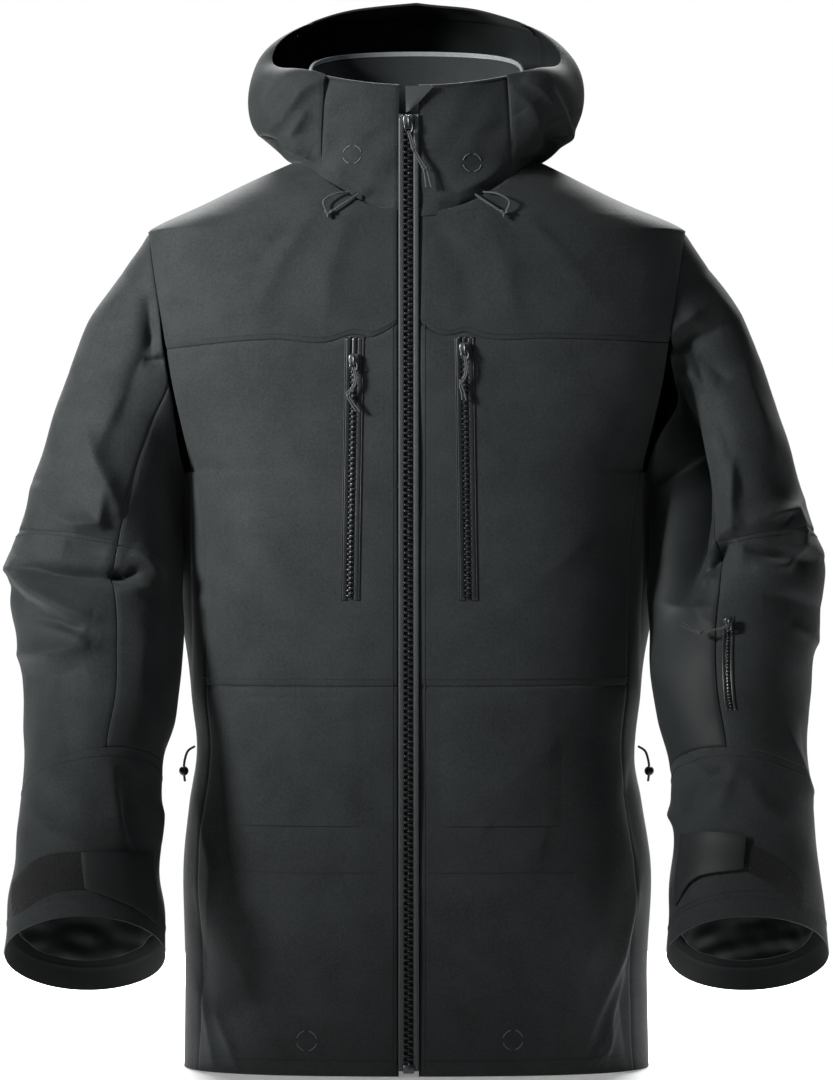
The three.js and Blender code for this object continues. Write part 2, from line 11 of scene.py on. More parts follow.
import bpy
import numpy as np
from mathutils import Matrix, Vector


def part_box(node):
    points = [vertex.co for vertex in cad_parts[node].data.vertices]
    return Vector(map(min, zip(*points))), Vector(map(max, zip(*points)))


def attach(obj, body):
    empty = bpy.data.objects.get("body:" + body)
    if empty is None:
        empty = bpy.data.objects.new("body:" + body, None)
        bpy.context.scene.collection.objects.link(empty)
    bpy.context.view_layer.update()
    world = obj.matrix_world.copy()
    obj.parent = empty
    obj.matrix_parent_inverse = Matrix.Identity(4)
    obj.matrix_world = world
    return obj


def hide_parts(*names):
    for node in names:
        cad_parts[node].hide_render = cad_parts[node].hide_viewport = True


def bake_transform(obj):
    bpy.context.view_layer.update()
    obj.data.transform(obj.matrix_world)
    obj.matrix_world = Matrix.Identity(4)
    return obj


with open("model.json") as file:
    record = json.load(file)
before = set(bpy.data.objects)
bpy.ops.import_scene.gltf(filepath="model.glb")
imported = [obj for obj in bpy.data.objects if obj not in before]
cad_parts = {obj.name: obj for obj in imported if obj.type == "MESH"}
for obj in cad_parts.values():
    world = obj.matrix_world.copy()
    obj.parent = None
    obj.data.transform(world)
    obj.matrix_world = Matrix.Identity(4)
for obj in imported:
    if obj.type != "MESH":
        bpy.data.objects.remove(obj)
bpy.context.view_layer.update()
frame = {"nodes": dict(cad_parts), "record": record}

# ---- driving dimensions, in millimetres --------------------------------------------------------------
MM = 0.001
CLOTH = 0.9                # visible thickness of the laminated cloth
WAIST_SEAM = 351
BACK_YOKE = 640
FLANK_LEAN = 0.06          # how far the flank leans out behind the hanging arms
NECK_FRONT = 780
NECK_BACK = 829
COLLAR_TOP = 893
ROUNDNESS = 2.5            # exponent of the torso's cross-section
ZIP_X = -7
ZIP_HALF = 9               # from the zip's middle to the placket's edge
FRONT_DEPTH = 128
FRONT_LEAN = 0.0253
ARM_LOW, ARM_HIGH = 545, 765
MAIN_SLIDER_Z = 861
SIDES = {"right": -1, "left": 1}

# The frame stands centred on its own box, so the wearer's middle lies a little behind its origin.
TAPE_PROUD = 0.47          # how far the main zip's tape stands out in front of FRONT_DEPTH
SHIFT_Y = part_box("main_zip_tape_left")[0].y / MM + FRONT_DEPTH + TAPE_PROUD


def place(points):
    """Millimetres about the wearer's middle, as metres in the frame."""
    return (np.asarray(points, float) + np.array([0, SHIFT_Y, 0])) * MM


# ---- numbers and curves ------------------------------------------------------------------------------
def ramp(low, high, value):
    """0 below low, 1 above high, and a smooth step between."""
    share = np.clip((np.asarray(value, float) - low) / (high - low), 0, 1)
    return share * share * (3 - 2 * share)


def mix(a, b, share):
    return a + (b - a) * share


def reader(rows):
    """A function that reads a column of a table smoothly; the first column rises."""
    table = np.array(rows, float)
    keys = table[:, 0]
    slopes = np.gradient(table, keys, axis=0)

    def read(key, column):
        key = np.clip(key, keys[0], keys[-1])
        i = np.clip(np.searchsorted(keys, key) - 1, 0, len(keys) - 2)
        step = keys[i + 1] - keys[i]
        s = (key - keys[i]) / step
        low, high = table[i, column], table[i + 1, column]
        rise_low, rise_high = slopes[i, column] * step, slopes[i + 1, column] * step
        from_low = (2 * s**3 - 3 * s**2 + 1) * low + (s**3 - 2 * s**2 + s) * rise_low
        return from_low + (3 * s**2 - 2 * s**3) * high + (s**3 - s**2) * rise_high

    return read


def line_distance(x, z, line):
    """Distance from points to a polyline in the front view, how far along it they are, 0 to 1, and how far
    they lie on its lower right side."""
    line = np.array(line, float)
    best = np.full(x.shape, 1e9)
    along = np.zeros(x.shape)
    shaded = np.zeros(x.shape)
    lengths = np.hypot(*(line[1:] - line[:-1]).T)
    total = lengths.sum()
    passed = 0.0
    for a, b, length in zip(line[:-1], line[1:], lengths):
        t = ((x - a[0]) * (b[0] - a[0]) + (z - a[1]) * (b[1] - a[1])) / length**2
        t = np.clip(t, 0, 1)
        off_x, off_z = x - mix(a[0], b[0], t), z - mix(a[1], b[1], t)
        gap = np.hypot(off_x, off_z)
        nearer = gap < best
        shaded = np.where(nearer, off_x * 0.45 - off_z * 0.9, shaded)
        best = np.where(nearer, gap, best)
        along = np.where(nearer, (passed + t * length) / total, along)
        passed += length
    return best, along, shaded


class Ripples:
    """Seeded soft wrinkles: a sum of plane waves, longer across `grain` than along it."""

    def __init__(self, seed, wavelength, count=7, grain=(0.4, 0.4, 1.0)):
        random = np.random.default_rng(seed)
        self.directions = random.normal(size=(count, 3)) * np.array(grain)
        self.directions /= np.linalg.norm(self.directions, axis=1)[:, None]
        self.rates = 2 * math.pi / (wavelength * random.uniform(0.6, 1.7, count))
        self.phases = random.uniform(0, 2 * math.pi, count)

    def __call__(self, points):
        total = np.zeros(points.shape[:-1])
        for direction, rate, phase in zip(self.directions, self.rates, self.phases):
            total += np.sin(points @ direction * rate + phase)
        return total / math.sqrt(len(self.rates))


# ---- the camera's place, which the folds' lines are drawn from ---------------------------------------
FRAME_HEIGHT = 993.6       # what the camera's frame takes in at the jacket's middle plane
CAMERA_DISTANCE = 6000
CAMERA_HEIGHT = 529
AIM_HEIGHT = 482.6
VIEW_LIFT = 11             # the fold lines' heights are counted from this far below the hem
SENSOR_MM = 36

# ---- folds: lines on the middle plane as the camera sees them, height, width, and face of the cloth ---
TORSO_FOLDS = [
    # hem and side creases, wearer's left
    ([(150, 12), (168, 60), (190, 110), (206, 185)], 4.5, 6, -1),
    ([(172, 4), (180, 60), (196, 100)], 4.0, 5, -1),
    ([(196, 6), (190, 70), (204, 150)], -4.0, 7, -1),
    ([(158, 4), (176, 26), (184, 48)], 3.5, 4, -1),
    ([(118, 2), (140, 60), (168, 130)], 1.8, 12, -1),
    ([(206, 200), (196, 262), (203, 300)], -4.0, 9, -1),
    # hem and side creases, wearer's right
    ([(-162, 3), (-172, 30), (-186, 62)], 3.5, 5, -1),
    ([(-184, 2), (-190, 40), (-204, 90)], 3.5, 6, -1),
    ([(-196, 120), (-190, 190), (-205, 270)], 3.0, 9, -1),
    ([(-200, 30), (-196, 110), (-208, 170)], -3.5, 8, -1),
    ([(-120, 4), (-150, 70), (-186, 150)], 1.6, 14, -1),
    # soft drag lines over the chest and belly
    ([(-195, 540), (-150, 500), (-90, 420)], 1.8, 20, -1),
    ([(195, 540), (150, 490), (85, 430)], 1.8, 20, -1),
    ([(-150, 340), (-100, 300), (-60, 235)], 1.6, 16, -1),
    ([(-190, 330), (-150, 280), (-110, 250)], 1.4, 14, -1),
    ([(150, 330), (110, 290), (70, 255)], 1.4, 16, -1),
    ([(120, 232), (112, 205), (80, 195)], 1.8, 9, -1),
    ([(70, 236), (58, 222), (42, 224)], 1.4, 7, -1),
    ([(-205, 500), (-160, 455), (-120, 380)], -1.5, 16, -1),
    # drag lines from the collar over the yokes
    ([(-84, 812), (-120, 760), (-150, 700)], 3.0, 17, -1),
    ([(-62, 795), (-80, 740), (-84, 690)], 2.2, 15, -1),
    ([(84, 812), (128, 764), (170, 712)], 3.0, 17, -1),
    ([(60, 795), (84, 740), (92, 694)], 2.2, 13, -1),
    ([(14, 790), (44, 745), (50, 700)], -2.0, 13, -1),
    ([(-210, 735), (-150, 745), (-110, 790)], -2.4, 18, -1),
    ([(212, 735), (150, 748), (112, 792)], -2.4, 18, -1),
    # the back: a few long soft folds
    ([(-160, 620), (-90, 540), (-60, 400)], 3.0, 24, 1),
    ([(160, 620), (100, 550), (50, 420)], 3.0, 24, 1),
    ([(-196, 330), (-110, 300), (0, 320)], 3.0, 18, 1),
    ([(196, 320), (120, 285), (10, 300)], 3.0, 18, 1),
    ([(-120, 5), (-100, 120), (-130, 240)], 3.5, 16, 1),
    ([(110, 5), (130, 110), (104, 230)], 3.5, 16, 1),
]
BEHIND_ELBOW = [
    ([(365, 470), (300, 455), (240, 470)], 9.0, 12, 1),
    ([(368, 430), (300, 410), (236, 425)], -9.0, 11, 1),
    ([(360, 385), (300, 372), (230, 390)], 8.0, 12, 1),
    ([(330, 620), (280, 580), (240, 560)], 6.0, 14, 1),
    ([(240, 330), (290, 300), (350, 320)], 4.0, 14, 1),
]
SLEEVE_FOLDS_RIGHT = [
    ([(-249, 722), (-247, 690), (-243, 662)], -8.0, 9, -1),
    ([(-252, 661), (-240, 660), (-226, 662)], -6.0, 5, -1),
    ([(-226, 600), (-222, 540), (-222, 460), (-228, 370)], -5.0, 16, -2),
    ([(-262, 735), (-288, 690), (-304, 640)], 5.0, 16, -1),
    ([(-236, 700), (-258, 650), (-276, 596)], -5.0, 13, -1),
    ([(-262, 640), (-284, 600), (-300, 560)], 4.0, 12, -1),
    ([(-306, 600), (-292, 560), (-272, 512)], 9.0, 12, -1),
    ([(-349, 548), (-343, 532), (-336, 515)], 5.0, 9, -1),
    ([(-336, 516), (-314, 506), (-292, 508), (-288, 540)], 9.0, 9, -1),
    ([(-325, 492), (-300, 486), (-284, 480)], -5.0, 12, -1),
    ([(-366, 468), (-330, 464), (-284, 461), (-262, 464)], -15.0, 9, 0),
    ([(-362, 480), (-372, 466), (-350, 445), (-318, 425), (-296, 420)], 12.0, 9, 0),
    ([(-378, 455), (-362, 438), (-340, 428)], -6.0, 6, 0),
    ([(-358, 424), (-330, 420), (-306, 408)], -12.0, 9, 0),
    ([(-349, 416), (-322, 408), (-298, 396)], 7.0, 8, 0),
    ([(-368, 389), (-335, 388), (-298, 396)], 10.0, 10, 0),
    ([(-362, 368), (-330, 370), (-304, 378)], -5.0, 11, -1),
    ([(-264, 484), (-250, 474), (-233, 456)], 8.0, 7, -1),
    ([(-278, 464), (-266, 461), (-254, 466)], -12.0, 4.5, -1),
    ([(-276, 452), (-256, 448), (-238, 448)], 5.0, 6, -1),
    ([(-262, 430), (-250, 400), (-256, 350)], 2.5, 14, -1),
    ([(-330, 380), (-326, 330), (-318, 280)], -3.0, 16, -1),
    ([(-268, 275), (-262, 240), (-252, 202)], -11.0, 11, -1),
    ([(-283, 290), (-276, 250), (-268, 208)], 5.0, 9, -1),
    ([(-248, 268), (-236, 240), (-230, 210)], 6.0, 8, -1),
    ([(-355, 250), (-335, 225), (-300, 212)], 3.0, 12, -1),
    ([(-345, 290), (-322, 262), (-296, 244)], 2.5, 14, -1),
    *[([(-x, z) for x, z in line], *rest) for line, *rest in BEHIND_ELBOW],
]
SLEEVE_FOLDS_LEFT = [
    ([(232, 668), (236, 600), (240, 520), (234, 430)], -58.0, 23, -2),
    ([(219, 668), (240, 688), (262, 705)], 6.0, 8, -1),
    ([(228, 672), (252, 682), (280, 688)], -7.0, 7, -1),
    ([(231, 648), (256, 644), (280, 634)], 6.0, 8, -1),
    ([(262, 668), (276, 656), (290, 640)], -5.0, 7, -1),
    ([(262, 740), (292, 694), (312, 640)], 6.0, 14, -1),
    ([(238, 710), (262, 655), (274, 600)], -6.0, 12, -1),
    ([(298, 660), (318, 605), (332, 560)], 5.0, 12, -1),
    ([(276, 620), (290, 575), (304, 530)], -4.0, 12, -1),
    ([(292, 575), (289, 530), (291, 494)], 8.0, 10, -1),
    ([(292, 496), (274, 478), (254, 464)], -15.0, 8, 0),
    ([(294, 506), (278, 500), (262, 480)], 6.0, 8, -1),
    ([(252, 452), (262, 470), (270, 456)], 6.0, 6, -1),
    ([(302, 508), (322, 514), (346, 520), (354, 500), (353, 482)], 9.0, 8, 0),
    ([(300, 488), (322, 482), (350, 478), (372, 474)], -11.0, 8, 0),
    ([(306, 466), (340, 470), (356, 484), (372, 470)], 8.0, 9, 0),
    ([(318, 444), (346, 440), (374, 430)], -4.0, 10, -1),
    ([(345, 415), (362, 405), (374, 392)], 5.0, 9, -1),
    ([(340, 322), (352, 290), (364, 253)], 5.0, 6, -1),
    ([(354, 326), (362, 292), (368, 262)], -4.0, 6, -1),
    ([(298, 292), (284, 262), (276, 236)], 6.0, 12, -1),
    ([(284, 286), (256, 262), (240, 236)], -5.0, 9, -1),
    ([(300, 280), (322, 244), (344, 226)], 4.0, 13, -1),
    ([(230, 253), (236, 240), (243, 226)], 7.0, 5, -1),
    ([(240, 300), (262, 280), (300, 272)], -4.0, 8, -1),
    ([(250, 440), (262, 420), (284, 410)], 3.0, 9, -1),
    *BEHIND_ELBOW,
]
HOOD_FOLDS = [
    # left as seen: the rim's turned-over cloth, a smooth shoulder, and a deep dark recess under it
    ([(-84, 918), (-104, 906), (-122, 880), (-140, 866)], 7.0, 9, -1),
    ([(-148, 862), (-126, 850), (-102, 840)], -14.0, 10, -1),
    ([(-146, 830), (-124, 834), (-100, 830)], -9.0, 8, -1),
    ([(-126, 866), (-114, 852), (-98, 844)], 8.0, 7, -1),
    ([(-100, 890), (-112, 866), (-104, 848)], 7.0, 8, -1),
    ([(-130, 915), (-140, 890), (-147, 868)], 3.0, 9, -1),
    ([(-116, 912), (-124, 898), (-130, 880)], -4.0, 7, -1),
    # right as seen
    ([(84, 912), (104, 892), (116, 868), (112, 852)], 6.0, 12, -1),
    ([(96, 918), (118, 902), (132, 884)], 5.0, 8, -1),
    ([(118, 872), (128, 856), (146, 844)], -12.0, 11, -1),
    ([(92, 842), (114, 842), (144, 834)], -9.0, 10, -1),
    ([(120, 912), (136, 886), (148, 850)], 4.0, 8, -1),
    ([(128, 910), (144, 880), (153, 855)], -4.0, 6, -1),
    # the hood's hang at the back
    ([(-90, 950), (-70, 900), (-40, 850)], 7.0, 16, 1),
    ([(90, 950), (70, 900), (40, 850)], 7.0, 16, 1),
    ([(-60, 900), (0, 880), (60, 900)], -6.0, 15, 1),
    ([(-100, 870), (0, 850), (100, 870)], 5.0, 12, 1),
]
SLEEVE_FOLDS = {-1: SLEEVE_FOLDS_RIGHT, 1: SLEEVE_FOLDS_LEFT}
CHIN_FOLDS = [
    ([(-84, 842), (-66, 824), (-40, 808)], 3.5, 8, 0),
    ([(-60, 800), (-40, 812), (-18, 806)], -2.0, 8, 0),
    ([(84, 842), (64, 826), (34, 812)], 3.5, 8, 0),
    ([(20, 804), (40, 800), (58, 808)], -2.5, 7, 0),
    ([(24, 880), (50, 868), (78, 884)], 1.5, 14, 0),
    ([(-24, 880), (-50, 866), (-76, 884)], 1.5, 14, 0),
]


def fold_height(points, normals, folds):
    """Outward shift of each point of a surface by a list of folds, in millimetres.

    A fold rises gently towards its crest and drops more steeply on its lower right side.
    """
    nearness = 1 + points[..., 1] / CAMERA_DISTANCE
    x = points[..., 0] / nearness
    z = VIEW_LIFT + CAMERA_HEIGHT + (points[..., 2] - CAMERA_HEIGHT) / nearness
    total = np.zeros(x.shape)
    for line, height, width, facing in folds:
        gap, along, shaded = line_distance(x, z, line)
        fade = np.clip(np.sin(np.pi * np.clip(along, 0.02, 0.98)), 0, 1) ** 0.6
        lee = np.sign(height) * shaded / np.maximum(gap, 1e-6)
        reach = width * mix(1.2, 0.62, ramp(-0.6, 0.6, lee))
        crest = np.exp(-np.abs(gap / reach) ** 1.45) * height * fade
        if facing:
            strict = 0.5 * (abs(facing) - 1)
            crest = crest * ramp(-0.35 + strict, 0.25 + strict, np.sign(facing) * normals[..., 1])
        total += crest
    return total


# ---- materials ---------------------------------------------------------------------------------------
def linear(red, green, blue):
    """A colour given as 0 to 255 screen values, as the shader's linear colour."""
    def one(value):
        share = value / 255
        return share / 12.92 if share <= 0.04045 else ((share + 0.055) / 1.055) ** 2.4
    return (one(red), one(green), one(blue), 1.0)


class Shader:
    """A node material under construction, with short calls for the nodes that cloth and metal need."""

    def __init__(self, name):
        self.material = bpy.data.materials.new(name)
        self.material.use_nodes = True
        self.tree = self.material.node_tree
        self.surface = self.tree.nodes["Principled BSDF"]
        self.coordinates = self.node("ShaderNodeTexCoord").outputs["Object"]

    def node(self, kind, **settings):
        made = self.tree.nodes.new(kind)
        for key, value in settings.items():
            setattr(made, key, value)
        return made

    def join(self, start, end):
        self.tree.links.new(start, end)

    def set(self, **values):
        for key, value in values.items():
            self.surface.inputs[key.replace("_", " ")].default_value = value
        return self

    def scaled(self, scale):
        mapping = self.node("ShaderNodeMapping")
        mapping.inputs["Scale"].default_value = scale
        self.join(self.coordinates, mapping.inputs["Vector"])
        return mapping.outputs["Vector"]

    def noise(self, size_mm, detail=3.0, stretch=(1, 1, 1), rough=0.55):
        made = self.node("ShaderNodeTexNoise")
        made.inputs["Scale"].default_value = 1.0
        made.inputs["Detail"].default_value = detail
        made.inputs["Roughness"].default_value = rough
        rate = 1 / (size_mm * MM)
        self.join(self.scaled([rate * s for s in stretch]), made.inputs["Vector"])
        return made.outputs["Fac"]

    def waves(self, size_mm, direction, distortion=0.6):
        made = self.node("ShaderNodeTexWave", bands_direction=direction, wave_profile="SIN")
        made.inputs["Scale"].default_value = 1 / (size_mm * MM) / 20
        made.inputs["Distortion"].default_value = distortion
        self.join(self.coordinates, made.inputs["Vector"])
        return made.outputs["Fac"]

    def blend_colours(self, share, first, second):
        made = self.node("ShaderNodeMix", data_type="RGBA")
        made.inputs[6].default_value = first
        made.inputs[7].default_value = second
        self.join(share, made.inputs[0])
        return made.outputs[2]

    def maths(self, operation, a, b):
        made = self.node("ShaderNodeMath", operation=operation)
        for socket, value in zip(made.inputs, (a, b)):
            if isinstance(value, (int, float)):
                socket.default_value = value
            else:
                self.join(value, socket)
        return made.outputs[0]

    def spread(self, value, low, high):
        made = self.node("ShaderNodeMapRange")
        made.inputs["To Min"].default_value = low
        made.inputs["To Max"].default_value = high
        self.join(value, made.inputs["Value"])
        return made.outputs["Result"]

    def bump(self, height, strength, distance_mm):
        made = self.node("ShaderNodeBump")
        made.inputs["Strength"].default_value = strength
        made.inputs["Distance"].default_value = distance_mm * MM
        self.join(height, made.inputs["Height"])
        self.join(made.outputs["Normal"], self.surface.inputs["Normal"])


def cloth_material(name, dark, light, roughness, grain_mm=1.1, bump=0.5, sheen=0.15):
    """Plain-woven laminated cloth: fine grain, a faint weave and slow mottling."""
    shader = Shader(name)
    grain = shader.noise(grain_mm, detail=4.0, rough=0.7)
    mottle = shader.noise(42, detail=3.0)
    weave = shader.maths("MULTIPLY", shader.waves(0.75, "X"), shader.waves(0.75, "Z"))
    tone = shader.maths("ADD", shader.maths("MULTIPLY", grain, 0.65),
                        shader.maths("MULTIPLY", mottle, 0.35))
    tone = shader.spread(tone, -0.8, 1.8)
    shader.join(shader.blend_colours(tone, dark, light), shader.surface.inputs["Base Color"])
    rough = shader.spread(shader.noise(18, detail=2.0), roughness - 0.06, roughness + 0.06)
    shader.join(rough, shader.surface.inputs["Roughness"])
    height = shader.maths("ADD", shader.maths("MULTIPLY", grain, 0.8),
                          shader.maths("MULTIPLY", weave, 0.1))
    shader.bump(height, bump, 0.35)
    shader.set(Sheen_Weight=sheen, Sheen_Roughness=0.45, Specular_IOR_Level=0.35)
    return shader.material


def smooth_material(name, dark, light, roughness, metallic=0.0, grain_mm=3.0, bump=0.08, coat=0.0):
    """Moulded plastic, film or coated metal: an even surface with slight wear in its gloss."""
    shader = Shader(name)
    wear = shader.noise(grain_mm, detail=5.0)
    shader.join(shader.blend_colours(wear, dark, light), shader.surface.inputs["Base Color"])
    rough = shader.spread(wear, roughness - 0.08, roughness + 0.1)
    shader.join(rough, shader.surface.inputs["Roughness"])
    shader.bump(wear, bump, 0.2)
    shader.set(Metallic=metallic, Coat_Weight=coat, Coat_Roughness=0.2)
    return shader.material


def loop_material():
    """The soft side of a hook-and-loop fastener: a dense pile of small loops."""
    shader = Shader("loop_pile")
    pile = shader.node("ShaderNodeTexVoronoi", feature="F1")
    pile.inputs["Scale"].default_value = 1 / (1.5 * MM)
    shader.join(shader.coordinates, pile.inputs["Vector"])
    strands = shader.noise(0.7, detail=5.0, rough=0.8)
    tone = shader.maths("MULTIPLY", pile.outputs["Distance"], strands)
    colour = shader.blend_colours(tone, linear(4, 5, 6), linear(26, 29, 30))
    shader.join(colour, shader.surface.inputs["Base Color"])
    shader.bump(shader.maths("ADD", pile.outputs["Distance"], strands), 1.0, 1.2)
    shader.set(Roughness=0.95, Sheen_Weight=0.06, Sheen_Roughness=0.6)
    return shader.material


def cord_material():
    """Braided cord: fine diagonal plaits."""
    shader = Shader("braided_cord")
    braid = shader.noise(0.8, detail=2.0, stretch=(1, 1, 0.45))
    colour = shader.blend_colours(braid, linear(34, 37, 38), linear(86, 90, 92))
    shader.join(colour, shader.surface.inputs["Base Color"])
    shader.bump(braid, 0.9, 0.3)
    shader.set(Roughness=0.6, Sheen_Weight=0.2, Sheen_Roughness=0.4)
    return shader.material


SHELL = cloth_material("shell_cloth", linear(22, 26, 27), linear(49, 54, 55), 0.8, 1.9, 1.0, 0.08)
LINING = cloth_material("lining_cloth", linear(20, 25, 26), linear(36, 41, 42), 0.66, 0.8, 0.3, 0.05)
COLLAR_LINING = cloth_material("collar_lining", linear(34, 39, 41), linear(50, 55, 57), 0.8, 1.4, 0.4, 0.1)
GARAGE = cloth_material("garage_cloth", linear(48, 53, 54), linear(72, 78, 80), 0.7, 1.2, 0.6, 0.1)
SEAM_TAPE = smooth_material("seam_tape", linear(130, 136, 139), linear(176, 182, 185), 0.45)
ZIP_FILM = smooth_material("zip_film", linear(50, 54, 56), linear(74, 78, 80), 0.36, bump=0.05, coat=0.25)
POCKET_FILM = smooth_material("pocket_zip_film", linear(22, 25, 26), linear(44, 48, 50), 0.3, coat=0.3)
TEETH = smooth_material("zip_teeth", linear(10, 11, 12), linear(26, 28, 29), 0.24, grain_mm=1.5, coat=0.4)
METAL = smooth_material("coated_metal", linear(78, 82, 84), linear(120, 125, 128), 0.32, 0.9, 1.5)
BEAD = smooth_material("moulded_bead", linear(10, 11, 12), linear(24, 26, 27), 0.42)
TAB = cloth_material("tab_laminate", linear(28, 32, 33), linear(38, 42, 43), 0.6, 1.2, 0.3, 0.04)
# Dark tone for the stitch lines, darker than the shell: painted shade of the sunken grooves along the
# stitched seams.
STITCH_GROOVE_SHADE = smooth_material("stitch_painted_groove_shade", linear(20, 23, 24), linear(30, 33, 34), 0.7, grain_mm=0.8)
THREAD = smooth_material("stitch_thread", linear(74, 80, 82), linear(104, 110, 112), 0.55, grain_mm=0.8)
LOOP = loop_material()
CORD = cord_material()


# ---- meshes ------------------------------------------------------------------------------------------
def new_mesh(name, vertices, faces, material, smooth=True):
    """A mesh object from points in millimetres about the wearer's middle."""
    mesh = bpy.data.meshes.new(name)
    mesh.from_pydata(place(vertices).tolist(), [], [list(f) for f in faces])
    mesh.materials.append(material)
    mesh.polygons.foreach_set("use_smooth", [smooth] * len(mesh.polygons))
    mesh.update()
    made = bpy.data.objects.new(name, mesh)
    bpy.context.scene.collection.objects.link(made)
    return made


def grid_faces(rows, columns, round_about=False):
    """Quads over a grid of rows, optionally closed on itself across."""
    spans = columns if round_about else columns - 1
    r, c = np.meshgrid(np.arange(rows - 1), np.arange(spans), indexing="ij")
    following = (c + 1) % columns
    quads = np.stack([r * columns + c, r * columns + following,
                      (r + 1) * columns + following, (r + 1) * columns + c], axis=-1)
    return quads.reshape(-1, 4)


def grid_normals(points, centres):
    """Unit normals of a grid of points that look away from their centres."""
    across = np.gradient(points, axis=1)
    along = np.gradient(points, axis=0)
    normals = np.cross(across, along)
    normals /= np.maximum(np.linalg.norm(normals, axis=-1), 1e-9)[..., None]
    outward = ((points - centres) * normals).sum()
    return normals if outward > 0 else -normals


def seam_dip(points, edges, depth=0.9, width=2.2):
    """How far the cloth turns in at the sewn edges: 'left', 'right', 'bottom' and 'top' of the grid."""
    dip = np.zeros(points.shape[:2])
    for axis, (low, high) in ((1, ("left", "right")), (0, ("bottom", "top"))):
        steps = np.linalg.norm(np.diff(points, axis=axis), axis=-1)
        padded = np.concatenate([np.zeros_like(np.take(steps, [0], axis)), np.cumsum(steps, axis)], axis)
        for edge, distance in ((low, padded), (high, np.take(padded, [-1], axis) - padded)):
            if edge in edges:
                dip -= edges[edge] * depth * np.exp(-(distance / width) ** 2)
    return dip


# How far behind its cloth the centre of a flat patch lies. Only the direction to it counts.
INWARD = 40.0
ALL_ROUND = {"left": 1, "right": 1, "bottom": 1, "top": 1}


def crowd(count, edge_share=0.03, extra=3):
    """Shares from 0 to 1 with a few more near both ends, where seams roll in."""
    near = edge_share * (np.arange(1, extra + 1) / (extra + 1)) ** 1.2
    return np.concatenate([[0], near, np.linspace(edge_share, 1 - edge_share, count), 1 - near[::-1], [1]])


def cloth(name, surface, across, along, body, material=SHELL, lining=LINING, folds=(), ripples=None,
          ripple_mm=0.0, edges=None, lift=0.0, thick=CLOTH, stands_for=(), slot="shell_cloth", held="hung",
          sewn=0.0):
    """A panel of cloth over surface(u, v) -> (points, centres), folded, rippled and turned in at seams."""
    u, v = crowd(across), crowd(along)
    share_u, share_v = np.meshgrid(u, v)
    points, centres = surface(share_u, share_v)
    normals = grid_normals(points, centres)
    shift = fold_height(points, normals, folds)
    if ripples:
        shift = shift + ripple_mm * ripples(points)
    shift = shift * ramp(0, sewn, share_v) if sewn else shift
    shift = shift + lift + seam_dip(points, edges or {})
    points = points + normals * shift[..., None]
    faces = grid_faces(len(v), len(u))
    sample = np.cross(points[0, 1] - points[0, 0], points[1, 0] - points[0, 0])
    if np.dot(sample, normals[0, 0]) < 0:
        faces = faces[:, ::-1]
    made = new_mesh(name, points.reshape(-1, 3), faces, material)
    made.data.materials.append(lining)
    shell = made.modifiers.new("thickness", "SOLIDIFY")
    shell.thickness = thick * MM
    shell.offset = -1
    shell.material_offset = 1
    shell.material_offset_rim = 0
    finish(made, body, stands_for, slot)
    if held:
        across_mm = np.linalg.norm(np.diff(points, axis=1), axis=-1).sum(axis=1).max()
        along_mm = np.linalg.norm(np.diff(points, axis=0), axis=-1).sum(axis=0).max()
        corners = points[1:, 1:] - points[:-1, :-1], points[1:, :-1] - points[:-1, 1:]
        area_mm = np.linalg.norm(np.cross(*corners), axis=-1).sum() / 2
        area_mm = np.clip(area_mm, 0.32 * across_mm * along_mm, across_mm * along_mm)
    return made


def finish(piece, body, stands_for=(), slot=None):
    """Joins a piece to one body; a piece given two bodies is only fixed where it stands, joined to neither.
    """
    if isinstance(body, str):
        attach(piece, body)
    else:
        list(body)
        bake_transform(piece)
    if stands_for:
        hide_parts(*([stands_for] if isinstance(stands_for, str) else stands_for))
    return piece


def skin(rings):
    """Rings of points joined into a closed skin, with both ends filled."""
    rings = np.asarray(rings, float)
    rows, sides = rings.shape[:2]
    faces = [list(face) for face in grid_faces(rows, sides, True)]
    faces.append(list(range(sides))[::-1])
    faces.append([(rows - 1) * sides + i for i in range(sides)])
    return rings.reshape(-1, 3), faces


def tube(points, radius, sides=10, closed=False):
    """Vertices and faces of a round tube along points; radius may vary along it."""
    points = np.asarray(points, float)
    radius = np.broadcast_to(radius, (len(points),))
    if closed:
        tangents = np.roll(points, -1, 0) - np.roll(points, 1, 0)
    else:
        tangents = np.gradient(points, axis=0)
    tangents /= np.linalg.norm(tangents, axis=1)[:, None]
    up = np.array([0.0, 1.0, 0.0]) if abs(tangents[0][1]) < 0.9 else np.array([1.0, 0.0, 0.0])
    rings = []
    for point, tangent, size in zip(points, tangents, radius):
        side = np.cross(tangent, up)
        side /= np.linalg.norm(side)
        up = np.cross(side, tangent)
        angles = np.arange(sides) * 2 * math.pi / sides
        rings.append(point + size * (np.cos(angles)[:, None] * side + np.sin(angles)[:, None] * up))
    vertices, faces = skin(rings)
    if closed:
        last = (len(points) - 1) * sides
        joining = [[last + i, last + (i + 1) % sides, (i + 1) % sides, i] for i in range(sides)]
        faces = faces[:-2] + joining
    return vertices, faces


def merge(parts):
    """Several (vertices, faces) as one."""
    vertices, faces, offset = [], [], 0
    for part_vertices, part_faces in parts:
        vertices.append(np.asarray(part_vertices, float))
        faces += [[i + offset for i in face] for face in part_faces]
        offset += len(part_vertices)
    return np.concatenate(vertices), faces


